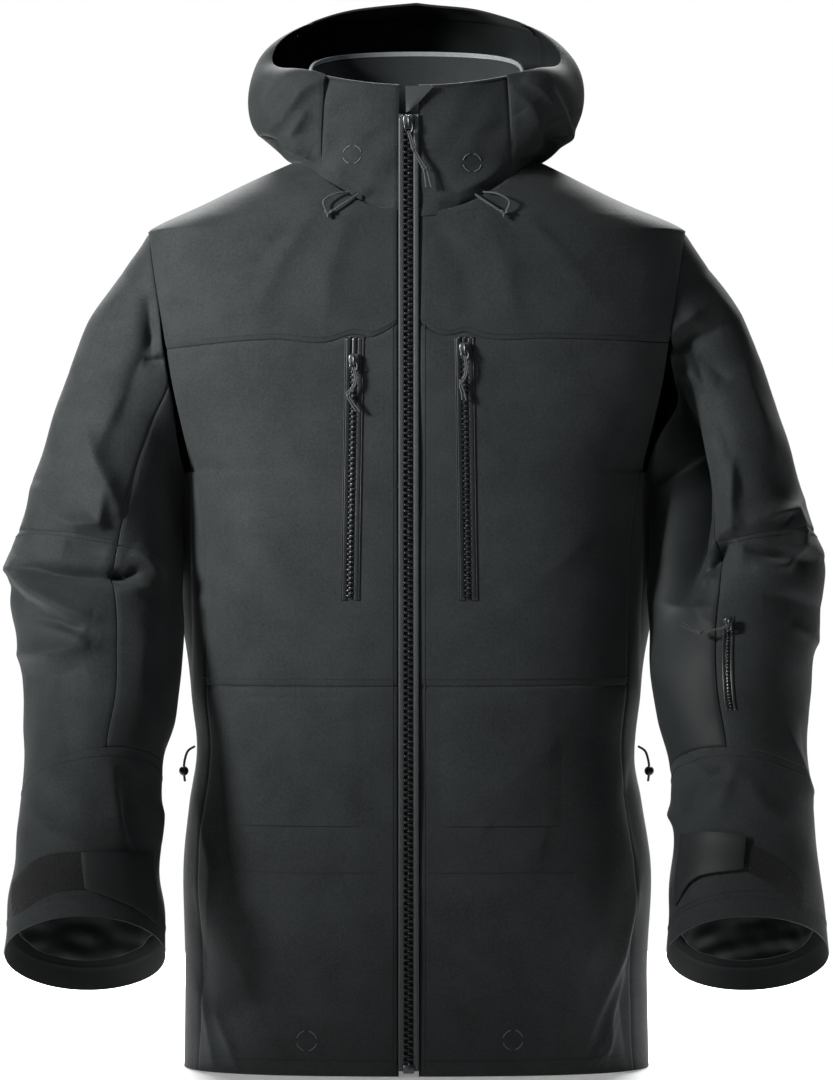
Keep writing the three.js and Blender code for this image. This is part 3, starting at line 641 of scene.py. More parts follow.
def block(size, chamfer=0.2):
    """A box with its twelve edges cut off, as vertices and faces about its middle."""
    half = np.array(size, float) / 2
    cut = min(half) * chamfer * 2
    signs = (-1, 1)
    vertices, index = [], {}
    for corner_signs in itertools.product(signs, repeat=3):
        for axis in range(3):
            corner = np.array(corner_signs) * (half - cut)
            corner[axis] = corner_signs[axis] * half[axis]
            index[(*corner_signs, axis)] = len(vertices)
            vertices.append(corner)
    faces = []
    for axis in range(3):
        b, c = [i for i in range(3) if i != axis]
        for s in signs:
            face = []
            for sb, sc in ((-1, -1), (1, -1), (1, 1), (-1, 1)):
                key = [0, 0, 0]
                key[axis], key[b], key[c] = s, sb, sc
                face.append(index[(*key, axis)])
            faces.append(face if (s > 0) == (axis != 1) else face[::-1])
    for axis in range(3):
        b, c = [i for i in range(3) if i != axis]
        for sb, sc in itertools.product(signs, repeat=2):
            low, high = [0, 0, 0], [0, 0, 0]
            low[axis], high[axis] = signs
            low[b] = high[b] = sb
            low[c] = high[c] = sc
            face = [index[(*low, b)], index[(*high, b)], index[(*high, c)], index[(*low, c)]]
            flip = (sb * sc > 0) == (axis != 1)
            faces.append(face[::-1] if flip else face)
    for corner_signs in itertools.product(signs, repeat=3):
        face = [index[(*corner_signs, axis)] for axis in range(3)]
        faces.append(face if math.prod(corner_signs) > 0 else face[::-1])
    return np.array(vertices), faces


def moved(part, shift, rotation=None):
    vertices, faces = part
    vertices = np.asarray(vertices, float)
    if rotation is not None:
        vertices = vertices @ np.asarray(rotation, float).T
    return vertices + np.asarray(shift, float), faces


# ---- torso -------------------------------------------------------------------------------------------
torso = reader([
    [0, 214, 116], [80, 212, 119], [195, 214, 121], [243, 208, 120], [290, 202, 118], [345, 207, 121],
    [460, 214, 129], [540, 214, 133], [660, 236, 136], [711, 246, 132], [765, 247, 120], [789, 197, 110],
    [812, 150, 98], [NECK_BACK, 112, 90],
])
shoulder_depth = reader([[780, 108], [800, 103], [815, 94], [NECK_BACK, 84]])


def front_depth(z):
    return np.where(z > NECK_FRONT, shoulder_depth(z, 1), FRONT_DEPTH - FRONT_LEAN * z)


def zip_line_y(z):
    return -(FRONT_DEPTH - FRONT_LEAN * np.asarray(z, float))


def armhole_edge(z, facing):
    """Where the armhole's edge lies at a height: how far out, and how far forward or back."""
    rise = np.clip((z - ARM_LOW) / (ARM_HIGH - ARM_LOW), 0, 1)
    swing = np.sqrt(np.maximum(0, 1 - (2 * rise - 1) ** 2))
    y = 6 * (1 - np.abs(2 * rise - 1)) + facing * 66 * swing
    return mix(212, 246, rise), y


def section_width(z, facing):
    edge_x, edge_y = armhole_edge(z, facing)
    depth = front_depth(z) if facing < 0 else torso(z, 2)
    rest = 1 - np.minimum(0.9, np.abs(edge_y) / depth) ** ROUNDNESS
    beside = (z > ARM_LOW) & (z < ARM_HIGH)
    return np.where(beside, edge_x / rest ** (1 / ROUNDNESS), torso(z, 1))


def torso_points(x, z, facing):
    """The torso's surface at x and z; behind the hanging arms its flank leans out towards the back."""
    depth = front_depth(z) if facing < 0 else torso(z, 2)
    share = np.minimum(1, np.abs(x) / section_width(z, facing)) ** ROUNDNESS
    y = facing * depth * (1 - share) ** (1 / ROUNDNESS)
    beside_arm = ramp(330, 420, z) * (1 - ramp(545, 640, z)) * ramp(120, 205, np.abs(x))
    leaning = x * (1 + FLANK_LEAN * beside_arm * np.clip(y / 45, -0.4, 1))
    points = np.stack([leaning, y, z + 0 * x], axis=-1)
    centres = np.stack([0 * x, 0 * x, np.minimum(z, 740) + 0 * x], axis=-1)
    return points, centres


def outer_edge(z, facing):
    below = mix(0.93, 0.975, np.clip((z - 470) / 75, 0, 1)) * torso(z, 1)
    beside = armhole_edge(z, facing)[0]
    return np.where(z <= ARM_LOW, below, np.where(z < ARM_HIGH, beside, torso(z, 1)))


def neck_edge(z):
    rise = np.clip((z - NECK_FRONT) / (NECK_BACK - NECK_FRONT), 0, 1)
    return np.where(z > NECK_FRONT, 102 * rise**0.45, 0)


def zip_edge(side):
    return ZIP_X + ZIP_HALF if side > 0 else -(ZIP_X - ZIP_HALF)


def ease(share):
    return np.sin(share * math.pi / 2) ** 0.9


# The yoke seam steps up over each chest zip and rises beside the main zip.
YOKE_SEAMS = {
    -1: reader([[16, 680], [30, 671], [40, 667], [56, 669.5],
                [66, 667], [76, 663.5], [125, 665], [240, 656]]),
    1: reader([[2, 681], [14, 673], [25, 668.5], [34, 669],
               [44, 671.5], [58, 667], [120, 666], [240, 663]]),
}


def yoke_seam(side, x):
    return YOKE_SEAMS[side](np.abs(x), 1)


def front_surface(side, low, high):
    """A front panel between two seams, given as heights or as functions of x."""
    def heights(x):
        bottom = low(x) if callable(low) else low
        top = high(x) if callable(high) else high
        return bottom, top

    def surface(u, v):
        guess = mix(*heights(np.full_like(u, 120.0 * side)), v)
        for _ in range(3):
            inner = np.maximum(zip_edge(side), neck_edge(guess))
            x = side * mix(inner, outer_edge(guess, -1), ease(u))
            guess = mix(*heights(x), v)
        return torso_points(x, guess, -1)

    return surface


def back_surface(low, high):
    def surface(u, v):
        z = mix(low, high, v)
        share = 2 * u - 1
        return torso_points(np.sign(share) * outer_edge(z, 1) * ease(np.abs(share)), z, 1)
    return surface


def side_surface(side):
    def surface(u, v):
        z = mix(0, ARM_LOW, v)
        turn = 2 * u - 1
        x = mix(torso(z, 1), outer_edge(z, -1), np.abs(turn) ** 2)
        front, centres = torso_points(side * x, z, -1)
        back, _ = torso_points(side * x, z, 1)
        return np.where((turn < 0)[..., None], front, back), centres
    return surface


torso_ripples = Ripples(11, 120, grain=(1.0, 0.5, 0.5))
sleeve_ripples = {side: Ripples(21 + side, 70, grain=(0.5, 0.5, 1.0)) for side in SIDES.values()}


def build_torso():
    shared = dict(body="shell", folds=TORSO_FOLDS, ripples=torso_ripples, ripple_mm=0.7)
    for name, side in SIDES.items():
        seam = functools.partial(yoke_seam, side)
        cloth(f"lower_front_{name}_cloth", front_surface(side, 0, WAIST_SEAM), 90, 110,
              edges={"left": 1, "right": 1, "top": 1}, stands_for=f"lower_front_{name}", **shared)
        cloth(f"chest_panel_{name}_cloth", front_surface(side, WAIST_SEAM, seam), 90, 110,
              edges=ALL_ROUND, stands_for=f"chest_panel_{name}", **shared)
        cloth(f"front_yoke_{name}_cloth", front_surface(side, seam, NECK_BACK - 2), 80, 80, lift=0.35,
              edges={"left": 1, "right": 1, "bottom": 0.8}, stands_for=f"front_yoke_{name}", **shared)
        cloth(f"side_panel_{name}_cloth", side_surface(side), 50, 130,
              edges={"left": 1, "right": 1}, stands_for=f"side_panel_{name}", **shared)
    cloth("back_panel_cloth", back_surface(0, BACK_YOKE), 150, 150, edges={"left": 1, "right": 1, "top": 1},
          stands_for="back_panel", **shared)
    cloth("back_yoke_cloth", back_surface(BACK_YOKE, NECK_BACK - 2), 150, 70, lift=0.35,
          edges={"left": 1, "right": 1, "bottom": 0.8}, stands_for="back_yoke", **shared)


# ---- sleeves -----------------------------------------------------------------------------------------
# place along the arm; outer x, z; inner x, z; the middle's y; half the depth; tip at the front, degrees
hoops = reader([
    [0, 252, 764, 218, 546, 6, 66, 0],
    [1, 285, 707, 215, 519, 5, 72, 0],
    [2, 318, 640, 215, 501, 1, 75, 0],
    [3, 343, 565, 215, 484, -5, 78, 4],
    [4, 362, 496, 214, 464, -13, 79, 8],
    [5, 375, 452, 213, 429, -23, 79, 12],
    [6, 364, 384, 214, 374, -44, 78, 16],
    [7, 357, 320, 219, 323, -68, 76, 20],
    [8, 358, 258, 230, 277, -93, 75, 23],
    [9, 362, 200, 231, 193, -113, 74, 26],
    [10, 367, 155, 228, 154, -127, 75, 28],
    [11, 371, 111, 225, 112, -137, 76, 30],
])
LAST_HOOP = 11
CUFF_HOOP = 10.55
WRIST_HOOP = 8
ELBOW_HOOP = 4.15
UNDER_SEAM = 105


def sleeve_points(side, place_along, turn):
    """Points of a sleeve; turn goes round from the outer side by the front, in degrees."""
    angle = np.radians(turn)
    outer_x, outer_z = hoops(place_along, 1), hoops(place_along, 2)
    inner_x, inner_z = hoops(place_along, 3), hoops(place_along, 4)
    tip = np.radians(hoops(place_along, 7))
    depth = hoops(place_along, 6) * np.sin(angle)
    cosine = np.cos(angle)
    x = (outer_x + inner_x) / 2 + (outer_x - inner_x) / 2 * cosine
    z = (outer_z + inner_z) / 2 + (outer_z - inner_z) / 2 * cosine + depth * np.sin(tip)
    y = hoops(place_along, 5) - depth * np.cos(tip)
    middle = [(outer_x + inner_x) / 2, hoops(place_along, 5) + 0 * x, (outer_z + inner_z) / 2]
    # The first part of the sleeve is drawn to the armhole's edge, which it is sewn to.
    edge_z = (ARM_LOW + ARM_HIGH) / 2 + (ARM_HIGH - ARM_LOW) / 2 * cosine
    edge_x, edge_front = armhole_edge(edge_z, -1)
    edge_y = np.where(np.sin(angle) >= 0, edge_front, armhole_edge(edge_z, 1)[1])
    drawn = (1 - ramp(0, 1.1, place_along)) * (place_along < 1.1)
    x = x + drawn * (edge_x - 235 - 17 * cosine)
    y = y + drawn * (edge_y - 6 + 66 * np.sin(angle))
    z = z + drawn * cosine
    points = np.stack([side * x, y, z], axis=-1)
    centres = np.stack([side * middle[0] + 0 * x, middle[1], middle[2] + 0 * x], axis=-1)
    return points, centres


def sleeve_surface(side, places, turns):
    return lambda u, v: sleeve_points(side, mix(*places, v), mix(*turns, u))


def build_sleeves():
    for name, side in SIDES.items():
        folds = SLEEVE_FOLDS[side]
        shared = dict(body="shell", folds=folds, ripples=sleeve_ripples[side], ripple_mm=1.0)
        outside = (-UNDER_SEAM, UNDER_SEAM)
        under = (UNDER_SEAM, 360 - UNDER_SEAM)
        cloth(f"upper_sleeve_{name}_cloth", sleeve_surface(side, (0, ELBOW_HOOP), outside), 120, 100,
              edges=ALL_ROUND, stands_for=f"upper_sleeve_{name}", **shared)
        cloth(f"forearm_panel_{name}_cloth",
              sleeve_surface(side, (ELBOW_HOOP, WRIST_HOOP), outside), 120, 90,
              edges={"left": 1, "right": 1, "bottom": 1}, stands_for=f"forearm_panel_{name}", **shared)
        cloth(f"under_sleeve_{name}_cloth", sleeve_surface(side, (0, WRIST_HOOP), under), 70, 150,
              edges=ALL_ROUND, stands_for=f"under_sleeve_{name}", **shared)
        cloth(f"wrist_panel_{name}_cloth",
              sleeve_surface(side, (WRIST_HOOP, CUFF_HOOP), (-180, 180)), 150, 60,
              stands_for=f"wrist_panel_{name}", **shared)
        cloth(f"cuff_band_{name}_cloth",
              sleeve_surface(side, (CUFF_HOOP, LAST_HOOP), (-180, 180)), 150, 14,
              edges={"bottom": 0.5}, stands_for=f"cuff_band_{name}", **shared)
        cloth(f"wrist_gaiter_{name}_cloth", sleeve_surface(side, (9.3, 10.45), (-180, 180)), 120, 30,
              material=LINING, body="shell", lift=-11, folds=folds,
              ripples=Ripples(31 + side, 26), ripple_mm=1.6,
              stands_for=f"wrist_gaiter_{name}", slot="lining")


# ---- collar and hood ---------------------------------------------------------------------------------
CHIN_SEAM = 85.5
# direction; rim x, y, z; swell beyond the neck seam; swell beyond the rim
hood_rim = reader([
    [-48, 82, -86, 905, 6, 5],
    [-25, 112, -64, 912, 34, 22],
    [0, 131, -22, 919, 46, 32],
    [25, 127, 2, 938, 48, 44],
    [50, 101, 16, 957, 52, 70],
    [70, 58, 26, 972, 60, 100],
    [90, 0, 30, 979, 66, 116],
])
HOOD_FRONT, HOOD_SEAM = -48, 52    # directions of a hood side's front edge and of its seam to the centre
HOOD_SEWN = 0.22                   # share of the hood's height over which its folds rise from the neck seam
BRIM_SHARE = 0.87


# direction; x, y, z of the seam that joins the hood to the neck opening
neck_seam = reader([
    [-48, 85, -86, 809], [-38, 92, -72, 817], [-25, 101, -50, 825], [0, 112, -2, 828], [25, 102, 39, 829],
    [50, 73, 70, 829], [70, 39, 86, 829], [90, 0, 91, 829],
])


def hood_points(direction, share):
    """Points of the hood: direction goes round from the wearer's left by the back,
    share from the neck to the rim."""
    mirrored = np.where(direction > 90, 180 - direction, direction)
    flip = np.where(direction > 90, -1.0, 1.0)
    angle = np.radians(mirrored)
    outward = np.stack([np.cos(angle), np.sin(angle), 0 * angle], axis=-1)
    start = np.stack([neck_seam(mirrored, c) for c in (1, 2, 3)], axis=-1)
    rim = np.stack([hood_rim(mirrored, c) for c in (1, 2, 3)], axis=-1)
    low = start + outward * hood_rim(mirrored, 4)[..., None] + np.array([0, 0, 10])
    high = rim + outward * hood_rim(mirrored, 5)[..., None] + np.array([0, 0, -8])
    s = share[..., None]
    points = (1 - s) ** 3 * start + 3 * (1 - s) ** 2 * s * low + 3 * (1 - s) * s**2 * high + s**3 * rim
    points[..., 0] *= flip
    centres = np.stack([0 * angle, 40 + 0 * angle, 880 + 0 * angle], axis=-1)
    return points, centres


def hood_surface(directions, shares):
    return lambda u, v: hood_points(mix(*directions, u), mix(*shares, v))


def chin_heights(x):
    """The heights of the chin panels' lower and upper edges."""
    out = (x / CHIN_SEAM) ** 2
    return NECK_FRONT - 4 + 34 * out, COLLAR_TOP + 10 * out


def chin_points(x, share, z):
    """Points of the chin panels, a share of the way from their lower to their upper edge."""
    out = (x / CHIN_SEAM) ** 2
    y = zip_line_y(z) + 22 * out - 5 * out * np.sin(math.pi * share)
    return np.stack([x * mix(1.02, 0.97, share), y, z], axis=-1)


def chin_surface(side):
    inner = zip_edge(side)

    def surface(u, v):
        x = mix(inner, CHIN_SEAM, u)
        low, high = chin_heights(x)
        points = chin_points(side * x, v, mix(low, high, v))
        return points, points * np.array([0, 0, 1.0])
    return surface


def inner_collar_surface(low, high, inset=0.0):
    def surface(u, v):
        share = mix(low, high, v)
        angle = np.radians(mix(-8, 188, u))
        top = mix(908, 936, np.maximum(0, np.sin(angle)) ** 0.5)
        x = (mix(95, 99, share) - inset) * np.cos(angle)
        y = (mix(76, 66, share) - inset) * np.sin(angle)
        z = mix(NECK_BACK + 3, top, share)
        return np.stack([x, y, z], axis=-1), np.stack([0 * x, 0 * x, z], axis=-1)
    return surface


# The hood's cloth is given the shell, the hood and two points between them; it is fixed where it stands and
# joined to neither body.
HOOD_BEND = ("shell", "hood", (0, 0, 0.832), (0, 0, 0.925))


def build_hood():
    ripples = Ripples(41, 60, grain=(1, 1, 0.6))
    shared = dict(folds=HOOD_FOLDS, ripples=ripples, ripple_mm=0.9, body=HOOD_BEND)
    sides = {"left": (HOOD_FRONT, HOOD_SEAM), "right": (180 - HOOD_FRONT, 180 - HOOD_SEAM)}
    for name, directions in sides.items():
        cloth(f"hood_side_{name}_cloth", hood_surface(directions, (0, 1)), 110, 90,
              edges={"left": 1, "right": 1}, sewn=HOOD_SEWN, stands_for=f"hood_side_{name}", **shared)
    centre = (HOOD_SEAM, 180 - HOOD_SEAM)
    cloth("hood_centre_cloth", hood_surface(centre, (0, BRIM_SHARE)), 90, 90,
          edges={"left": 1, "right": 1, "top": 1}, sewn=HOOD_SEWN, stands_for="hood_centre", **shared)
    cloth("hood_brim_cloth", hood_surface(centre, (BRIM_SHARE, 1)), 90, 20,
          edges={"left": 1, "right": 1, "bottom": 1}, stands_for="hood_brim", lift=0.5, thick=2.2, **shared)


CHIN_RIPPLES = Ripples(51, 40)


def build_collar():
    for name, side in SIDES.items():
        cloth(f"chin_panel_{name}_cloth", chin_surface(side), 60, 70, body="shell", folds=CHIN_FOLDS,
              ripples=CHIN_RIPPLES, ripple_mm=0.6, edges={"right": 1, "left": 1}, lining=COLLAR_LINING,
              stands_for=f"chin_panel_{name}", thick=2.0)
        edge = np.linspace(zip_edge(side), CHIN_SEAM, 60)
        rim = chin_at(side * edge, COLLAR_TOP + 10 * (edge / CHIN_SEAM) ** 2) + np.array([0, 0.9, 0.3])
        stitched(f"chin_rim_{name}", [rim], SHELL, radius=1.5)
    cloth("inner_collar_cloth", inner_collar_surface(0, 0.965), 120, 40, body="shell", material=SHELL,
          lining=COLLAR_LINING, stands_for="inner_collar", slot="seam_tape", thick=2.0)
    cloth("inner_collar_tape", inner_collar_surface(0.962, 1.0), 120, 8, body="shell", material=SEAM_TAPE,
          lining=SEAM_TAPE, edges={"top": 0.6}, lift=0.7, thick=3.2, slot="seam_tape", held=None)


# ---- points on the finished cloth, found from the front view -------------------------------------------
def settle(surface, x, z, folds, ripples, ripple_mm, lift):
    """Points at x and z on a folded surface, raised by lift; and the outward directions there."""
    x, z = np.broadcast_arrays(np.asarray(x, float), np.asarray(z, float))
    here, beside, above = surface(x, z), surface(x + 1, z), surface(x, z + 1)
    normals = np.cross(beside - here, above - here)
    length = np.linalg.norm(normals, axis=-1)[..., None]
    inward = np.stack([-np.sign(x), 0 * x, 0 * x], axis=-1)
    normals = np.where(length > 1e-4, normals / np.maximum(length, 1e-9), inward)
    normals = np.where(normals[..., 1:2] > 0, -normals, normals)
    shift = fold_height(here, normals, folds) + lift
    if ripples:
        shift = shift + ripple_mm * ripples(here)
    return here + normals * shift[..., None], normals


def on_front(x, z, lift=0.0):
    return settle(lambda a, b: torso_points(a, b, -1)[0], x, z, TORSO_FOLDS, torso_ripples, 0.7, lift)


def sleeve_front(side):
    """The front half of a sleeve as a function of x and z in the front view."""
    def surface(x, z):
        out = np.abs(x)
        along = np.interp(z, [110, 440, 760], [10.6, 4.8, 0.2])
        turn = np.full(out.shape, 90.0)
        for _ in range(30):
            middle = (hoops(along, 1) + hoops(along, 3)) / 2
            reach = (hoops(along, 1) - hoops(along, 3)) / 2
            turn = np.degrees(np.arccos(np.clip((out - middle) / reach, -0.999, 0.999)))
            found = sleeve_points(side, along, turn)[0][..., 2]
            along = np.clip(along + (found - z) / 75, 0, LAST_HOOP)
        return sleeve_points(side, along, turn)[0]
    return surface


def on_sleeve(side, x, z, lift=0.0):
    return settle(sleeve_front(side), side * np.abs(x), z, SLEEVE_FOLDS[side],
                  sleeve_ripples[side], 1.0, lift)


def chin_at(x, z):
    low, high = chin_heights(x)
    return chin_points(x, np.clip((z - low) / (high - low), 0, 1), z)


def on_chin(x, z, lift=0.0):
    return settle(chin_at, x, z, CHIN_FOLDS, CHIN_RIPPLES, 0.6, lift)


# ---- stitched lines and small marks ----------------------------------------------------------------------
def through(points, count):
    """A smooth line of count points through a few given ones."""
    points = np.asarray(points, float)
    steps = np.concatenate([[0], np.cumsum(np.linalg.norm(np.diff(points, axis=0), axis=1))])
    table = reader(np.column_stack([steps, points]))
    places = np.linspace(0, steps[-1], count)
    return np.stack([table(places, column + 1) for column in range(points.shape[1])], axis=-1)


def stitched(name, lines, material, body="shell", radius=0.4):
    """Fine raised lines along the cloth, as one piece."""
    made = new_mesh(name, *merge([tube(line, radius, 6) for line in lines]), material)
    return finish(made, body)


def front_stitches():
    lines = []
    for side in SIDES.values():
        far = 196 * side
        near = ZIP_X + side * (ZIP_HALF + 1)
        x = np.linspace(near, far, 90)
        lines.append(on_front(x, WAIST_SEAM + 6.5, 0.1)[0])
        lines.append(on_front(x, yoke_seam(side, x) + 4.5, 0.4)[0])
        flap = np.linspace(*FLAP_REACH[side], 60) * side
        lines.append(on_front(flap, 183, 0.05)[0])
        z = np.linspace(8, 770, 160)
        lines.append(on_front(ZIP_X + side * (ZIP_HALF + 5.5), z, 0.1)[0])
        lines.append(on_front(np.linspace(near, 186 * side, 90), 14.0, 0.1)[0])
    # The stitch lines stand where the seams are stitched; their dark tone is painted groove shade.
    stitched("front_stitches", lines, STITCH_GROOVE_SHADE, radius=0.32)


def ring_marks():
    """Two rings on the collar and two on the hem, each of four arcs, over the parts they hold inside."""
    places = [(on_chin, -58, 832, 8.2), (on_chin, 50, 824.6, 8.2),
              (on_front, -99, 31.6, 9.0), (on_front, 87, 32.6, 9.0)]
    lines = []
    for where, x, z, radius in places:
        for quarter in range(4):
            angle = np.radians(np.linspace(-31, 31, 12) + 90 * quarter + 45)
            lines.append(where(x + radius * np.cos(angle), z + radius * np.sin(angle), 0.25)[0])
    stitched("ring_marks", lines, THREAD, radius=0.5)


def on_hoop(side, place_along, turn, lift=0.0):
    """Points on a sleeve's folded cloth, given along and round the sleeve."""
    points, centres = sleeve_points(side, place_along, turn)
    normals = points - centres
    normals /= np.linalg.norm(normals, axis=-1)[..., None]
    shift = fold_height(points, normals, SLEEVE_FOLDS[side]) + sleeve_ripples[side](points) + lift
    return points + normals * shift[..., None]


def sleeve_stitches():
    turn = np.linspace(-180, 180, 200)
    for name, side in SIDES.items():
        places = (ELBOW_HOOP + 0.1, WRIST_HOOP + 0.12, CUFF_HOOP - 0.1)
        lines = [on_hoop(side, np.full(200, place_along), turn, 0.1) for place_along in places]
        # The stitch lines stand where the seams are stitched; their dark tone is painted groove shade.
        stitched(f"sleeve_stitches_{name}", lines, STITCH_GROOVE_SHADE, radius=0.35)


# ---- zips ------------------------------------------------------------------------------------------------
class ZipLine:
    """The run of a zip between two heights: at(aside, heights) gives the points beside it."""

    def __init__(self, at, low, high):
        self.at, self.low, self.high = at, low, high

    def frame(self, heights):
        here, beside, above = self.at(0, heights), self.at(1.0, heights), self.at(0, heights + 1.0)
        side = beside - here
        side /= np.linalg.norm(side, axis=-1)[..., None]
        along = above - here
        along /= np.linalg.norm(along, axis=-1)[..., None]
        out = np.cross(side, along)
        out = np.where(out[..., 1:2] > 0, -out, out)
        return here, side, along, out


def sweep(zip_line, profile, steps=160):
    """A closed profile of (sideways, outward) steps run along a zip."""
    heights = np.linspace(zip_line.low, zip_line.high, steps)
    here, side, _, out = zip_line.frame(heights)
    return skin(np.stack([here + side * a + out * b for a, b in profile], axis=1))


def teeth(zip_line, pitch, size, offset, lift, start, stop, sides=(-1, 1)):
    """Interlocking teeth, turn about from each side."""
    parts = []
    tooth = block(size, 0.22)
    for side_sign in sides:
        first = start + (pitch / 2 if side_sign > 0 else 0)
        heights = np.arange(first, stop, pitch)
        for here, side, along, out in zip(*zip_line.frame(heights)):
            turn = np.stack([side, out, along], axis=1)
            parts.append(moved(tooth, here + side * offset * side_sign + out * lift, turn))
    return merge(parts)


def film(side_sign, inner, outer, lift):
    """The profile of one glossy film strip beside a chain."""
    steps = [(inner, -0.7), (inner + 0.1, lift * 0.75), (inner + 0.7, lift),
             (mix(inner, outer, 0.6), lift * 0.86),
             (outer - 0.9, lift * 0.95), (outer - 0.2, lift * 0.6), (outer, -0.7)]
    return [(side_sign * a, b) for a, b in steps][::side_sign]


def floor_strip(half, top):
    """The profile of the cloth strip that the teeth stand on."""
    return [(-half, -0.8), (-half, top), (half, top), (half, -0.8)]


def slider(scale, width, height):
    """A zip slider about its own middle: tapered body, bridge and a ring for the cord. -Y is outward."""
    half, tall = width / 2, height / 2
    right = [(0.62, -1), (0.86, -0.5), (1, 0.35), (0.9, 0.8), (0.62, 1)]
    outline = [(half * x, tall * z) for x, z in right + [(-x, z) for x, z in right[::-1]]]
    outline = outline[-1:] + outline[:-1]
    rings = []
    for share, depth in ((0.86, 1.6), (1.0, 1.2), (1.0, -1.0), (0.92, -1.6), (0.8, -1.8)):
        rings.append([(x * share, depth * scale, z * share) for x, z in outline])
    bridge = through([(0, -1.4, tall * 0.75), (0, -3.1, tall * 0.5), (0, -3.6, 0), (0, -3.1, -tall * 0.45),
                      (0, -1.4, -tall * 0.66)], 16)
    bridge = tube(bridge, 1.15 * scale, 8)
    angle = np.linspace(0, 2 * math.pi, 28, endpoint=False)
    ring = np.stack([half * 0.66 * np.cos(angle),
                     -3.2 - 0.4 * np.cos(2 * angle),
                     half * 0.86 * np.sin(angle) - tall * 0.75], -1)
    return merge([skin(rings), bridge, tube(ring, 0.72 * scale, 8, closed=True)])


STRAND_POINTS = 60
# A pull's knots: their width and their cord's radius, for a strand of radius 1.
KNOT_SIZE, KNOT_RADIUS = 3.1, 1.05


def pull(name, eye, steps, radius, body, knots, fray=((1.6, 0.2), (-1.2, -0.2))):
    """A doubled cord from a slider's eye, knotted, with two free ends."""
    spine = [np.array([eye[0] + x, eye[1] - abs(z) * 0.03 - 0.2, eye[2] + z]) for x, z in steps]
    line = through(spine, STRAND_POINTS)
    gap = radius * 0.95
    splay = np.linspace(0, 1, STRAND_POINTS)[:, None] ** 3
    offsets = [np.array([gap, 0, 0]) + splay * np.array([fray[0][0], 0, fray[0][1]]),
               np.array([-gap, 0, 0]) + splay * np.array([fray[1][0], 0, fray[1][1]])]
    first, second = (line + offset for offset in offsets)
    other = cord_curve(f"{name}_other_strand", second, radius, body)
    for share in knots:
        middle = line[int(share * (STRAND_POINTS - 1))]
        tie = f"{name}_knot_{int(share * 100)}"
        knot(tie, middle, radius * KNOT_SIZE, radius * KNOT_RADIUS, body)
    main = cord_curve(f"{name}_strand", first, radius, body)
    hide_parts(name)
    place(first[0]).tolist()
    run_length(first) * MM


def run_length(points):
    return float(np.linalg.norm(np.diff(points, axis=0), axis=1).sum())


def cord_curve(name, points, radius, body):
    data = bpy.data.curves.new(name, "CURVE")
    data.dimensions = "3D"
    data.bevel_depth = radius * MM
    data.bevel_resolution = 3
    data.use_fill_caps = True
    data.materials.append(CORD)
    spline = data.splines.new("POLY")
    spline.points.add(len(points) - 1)
    for point, position in zip(spline.points, place(points)):
        point.co = (*position, 1)
    spline.use_smooth = True
    made = bpy.data.objects.new(name, data)
    bpy.context.scene.collection.objects.link(made)
    return finish(made, body, slot="cord")


def knot(name, middle, size, radius, body):
    """An overhand knot: a cord's turns wound closely about one point."""
    turn = np.linspace(0, 2 * math.pi, 48, endpoint=False)
    x = size * 0.5 * (np.sin(turn) + 0.9 * np.sin(2 * turn))
    z = size * 0.5 * (np.cos(turn) - 0.9 * np.cos(2 * turn))
    y = -size * 0.28 * np.sin(3 * turn)
    made = new_mesh(name, *tube(np.stack([x, y, z], -1) * 0.85 + middle, radius, 8, closed=True), CORD)
    return finish(made, body, slot="cord")


MAIN_LOW, MAIN_TOP = 5, 868
BOX_Z = 7                  # middle of the box at the main zip's foot


def build_main_zip():
    def at(step, z):
        return np.stack([ZIP_X + step + 0 * z, zip_line_y(z) - 0.6, z], -1)
    line = ZipLine(at, MAIN_LOW, MAIN_TOP)
    for name, side in SIDES.items():
        strip = sweep(line, film(side, 4.3, ZIP_HALF + 0.3, 1.5))
        made = new_mesh(f"main_zip_film_{name}", *strip, ZIP_FILM)
        finish(made, "shell", f"main_zip_tape_{name}", "zip_tape")
        row = teeth(line, 5.4, (5.4, 2.3, 2.35), 1.75, 0.35, 13, MAIN_SLIDER_Z - 7, (side,))
        finish(new_mesh(f"main_zip_teeth_{name}", *row, TEETH), "shell", slot="zip_tape")
        profile = [(0.4, -1.9), (0.4, -0.9), (4.6, -0.9), (4.6, -1.9)]
        tape = sweep(line, [(side * a, b) for a, b in profile][::side])
        finish(new_mesh(f"main_zip_backing_{name}", *tape, LINING), "shell", slot="zip_tape")
    seat = np.array([ZIP_X, zip_line_y(MAIN_SLIDER_Z) - 2.9, MAIN_SLIDER_Z])
    made = new_mesh("main_zip_slider_shaped", *moved(slider(1.0, 11, 13), seat), METAL)
    finish(made, "main_slider", "main_zip_slider", "coated_metal")
    box = moved(block((10, 3.2, 8), 0.16), (ZIP_X, zip_line_y(BOX_Z) - 2.6, BOX_Z))
    finish(new_mesh("main_zip_box_shaped", *box, METAL), "shell", "main_zip_box", "coated_metal")
    eye = np.array([ZIP_X, zip_line_y(MAIN_SLIDER_Z - 7) - 6.3, MAIN_SLIDER_Z - 9])
    steps = [(0, 0), (2.2, -7), (4, -14), (9, -24), (14.5, -34), (18, -50)]
    pull("main_zip_pull", eye, steps, 0.95, "main_pull", (0.3, 0.69))

    def garage(u, v):
        left, right = mix(-9.5, -10, v), mix(-3.5, 16, v)
        z = mix(mix(869.5, 872.5, u), COLLAR_TOP + 0.5, v)
        x = mix(left, right, u)
        y = zip_line_y(z) - 3.4 - 1.2 * np.sin(math.pi * u) * (1 - v)
        points = np.stack([x, y, z], -1)
        return points, points + np.array([0, INWARD, 0])
    cloth("zip_garage_cloth", garage, 14, 14, "shell", GARAGE, stands_for="zip_garage", held=None)


CHEST_TOP, CHEST_LOW = 667, 429
CHEST_SLANT = 0.016        # how far the chest zips lean outwards for each step down
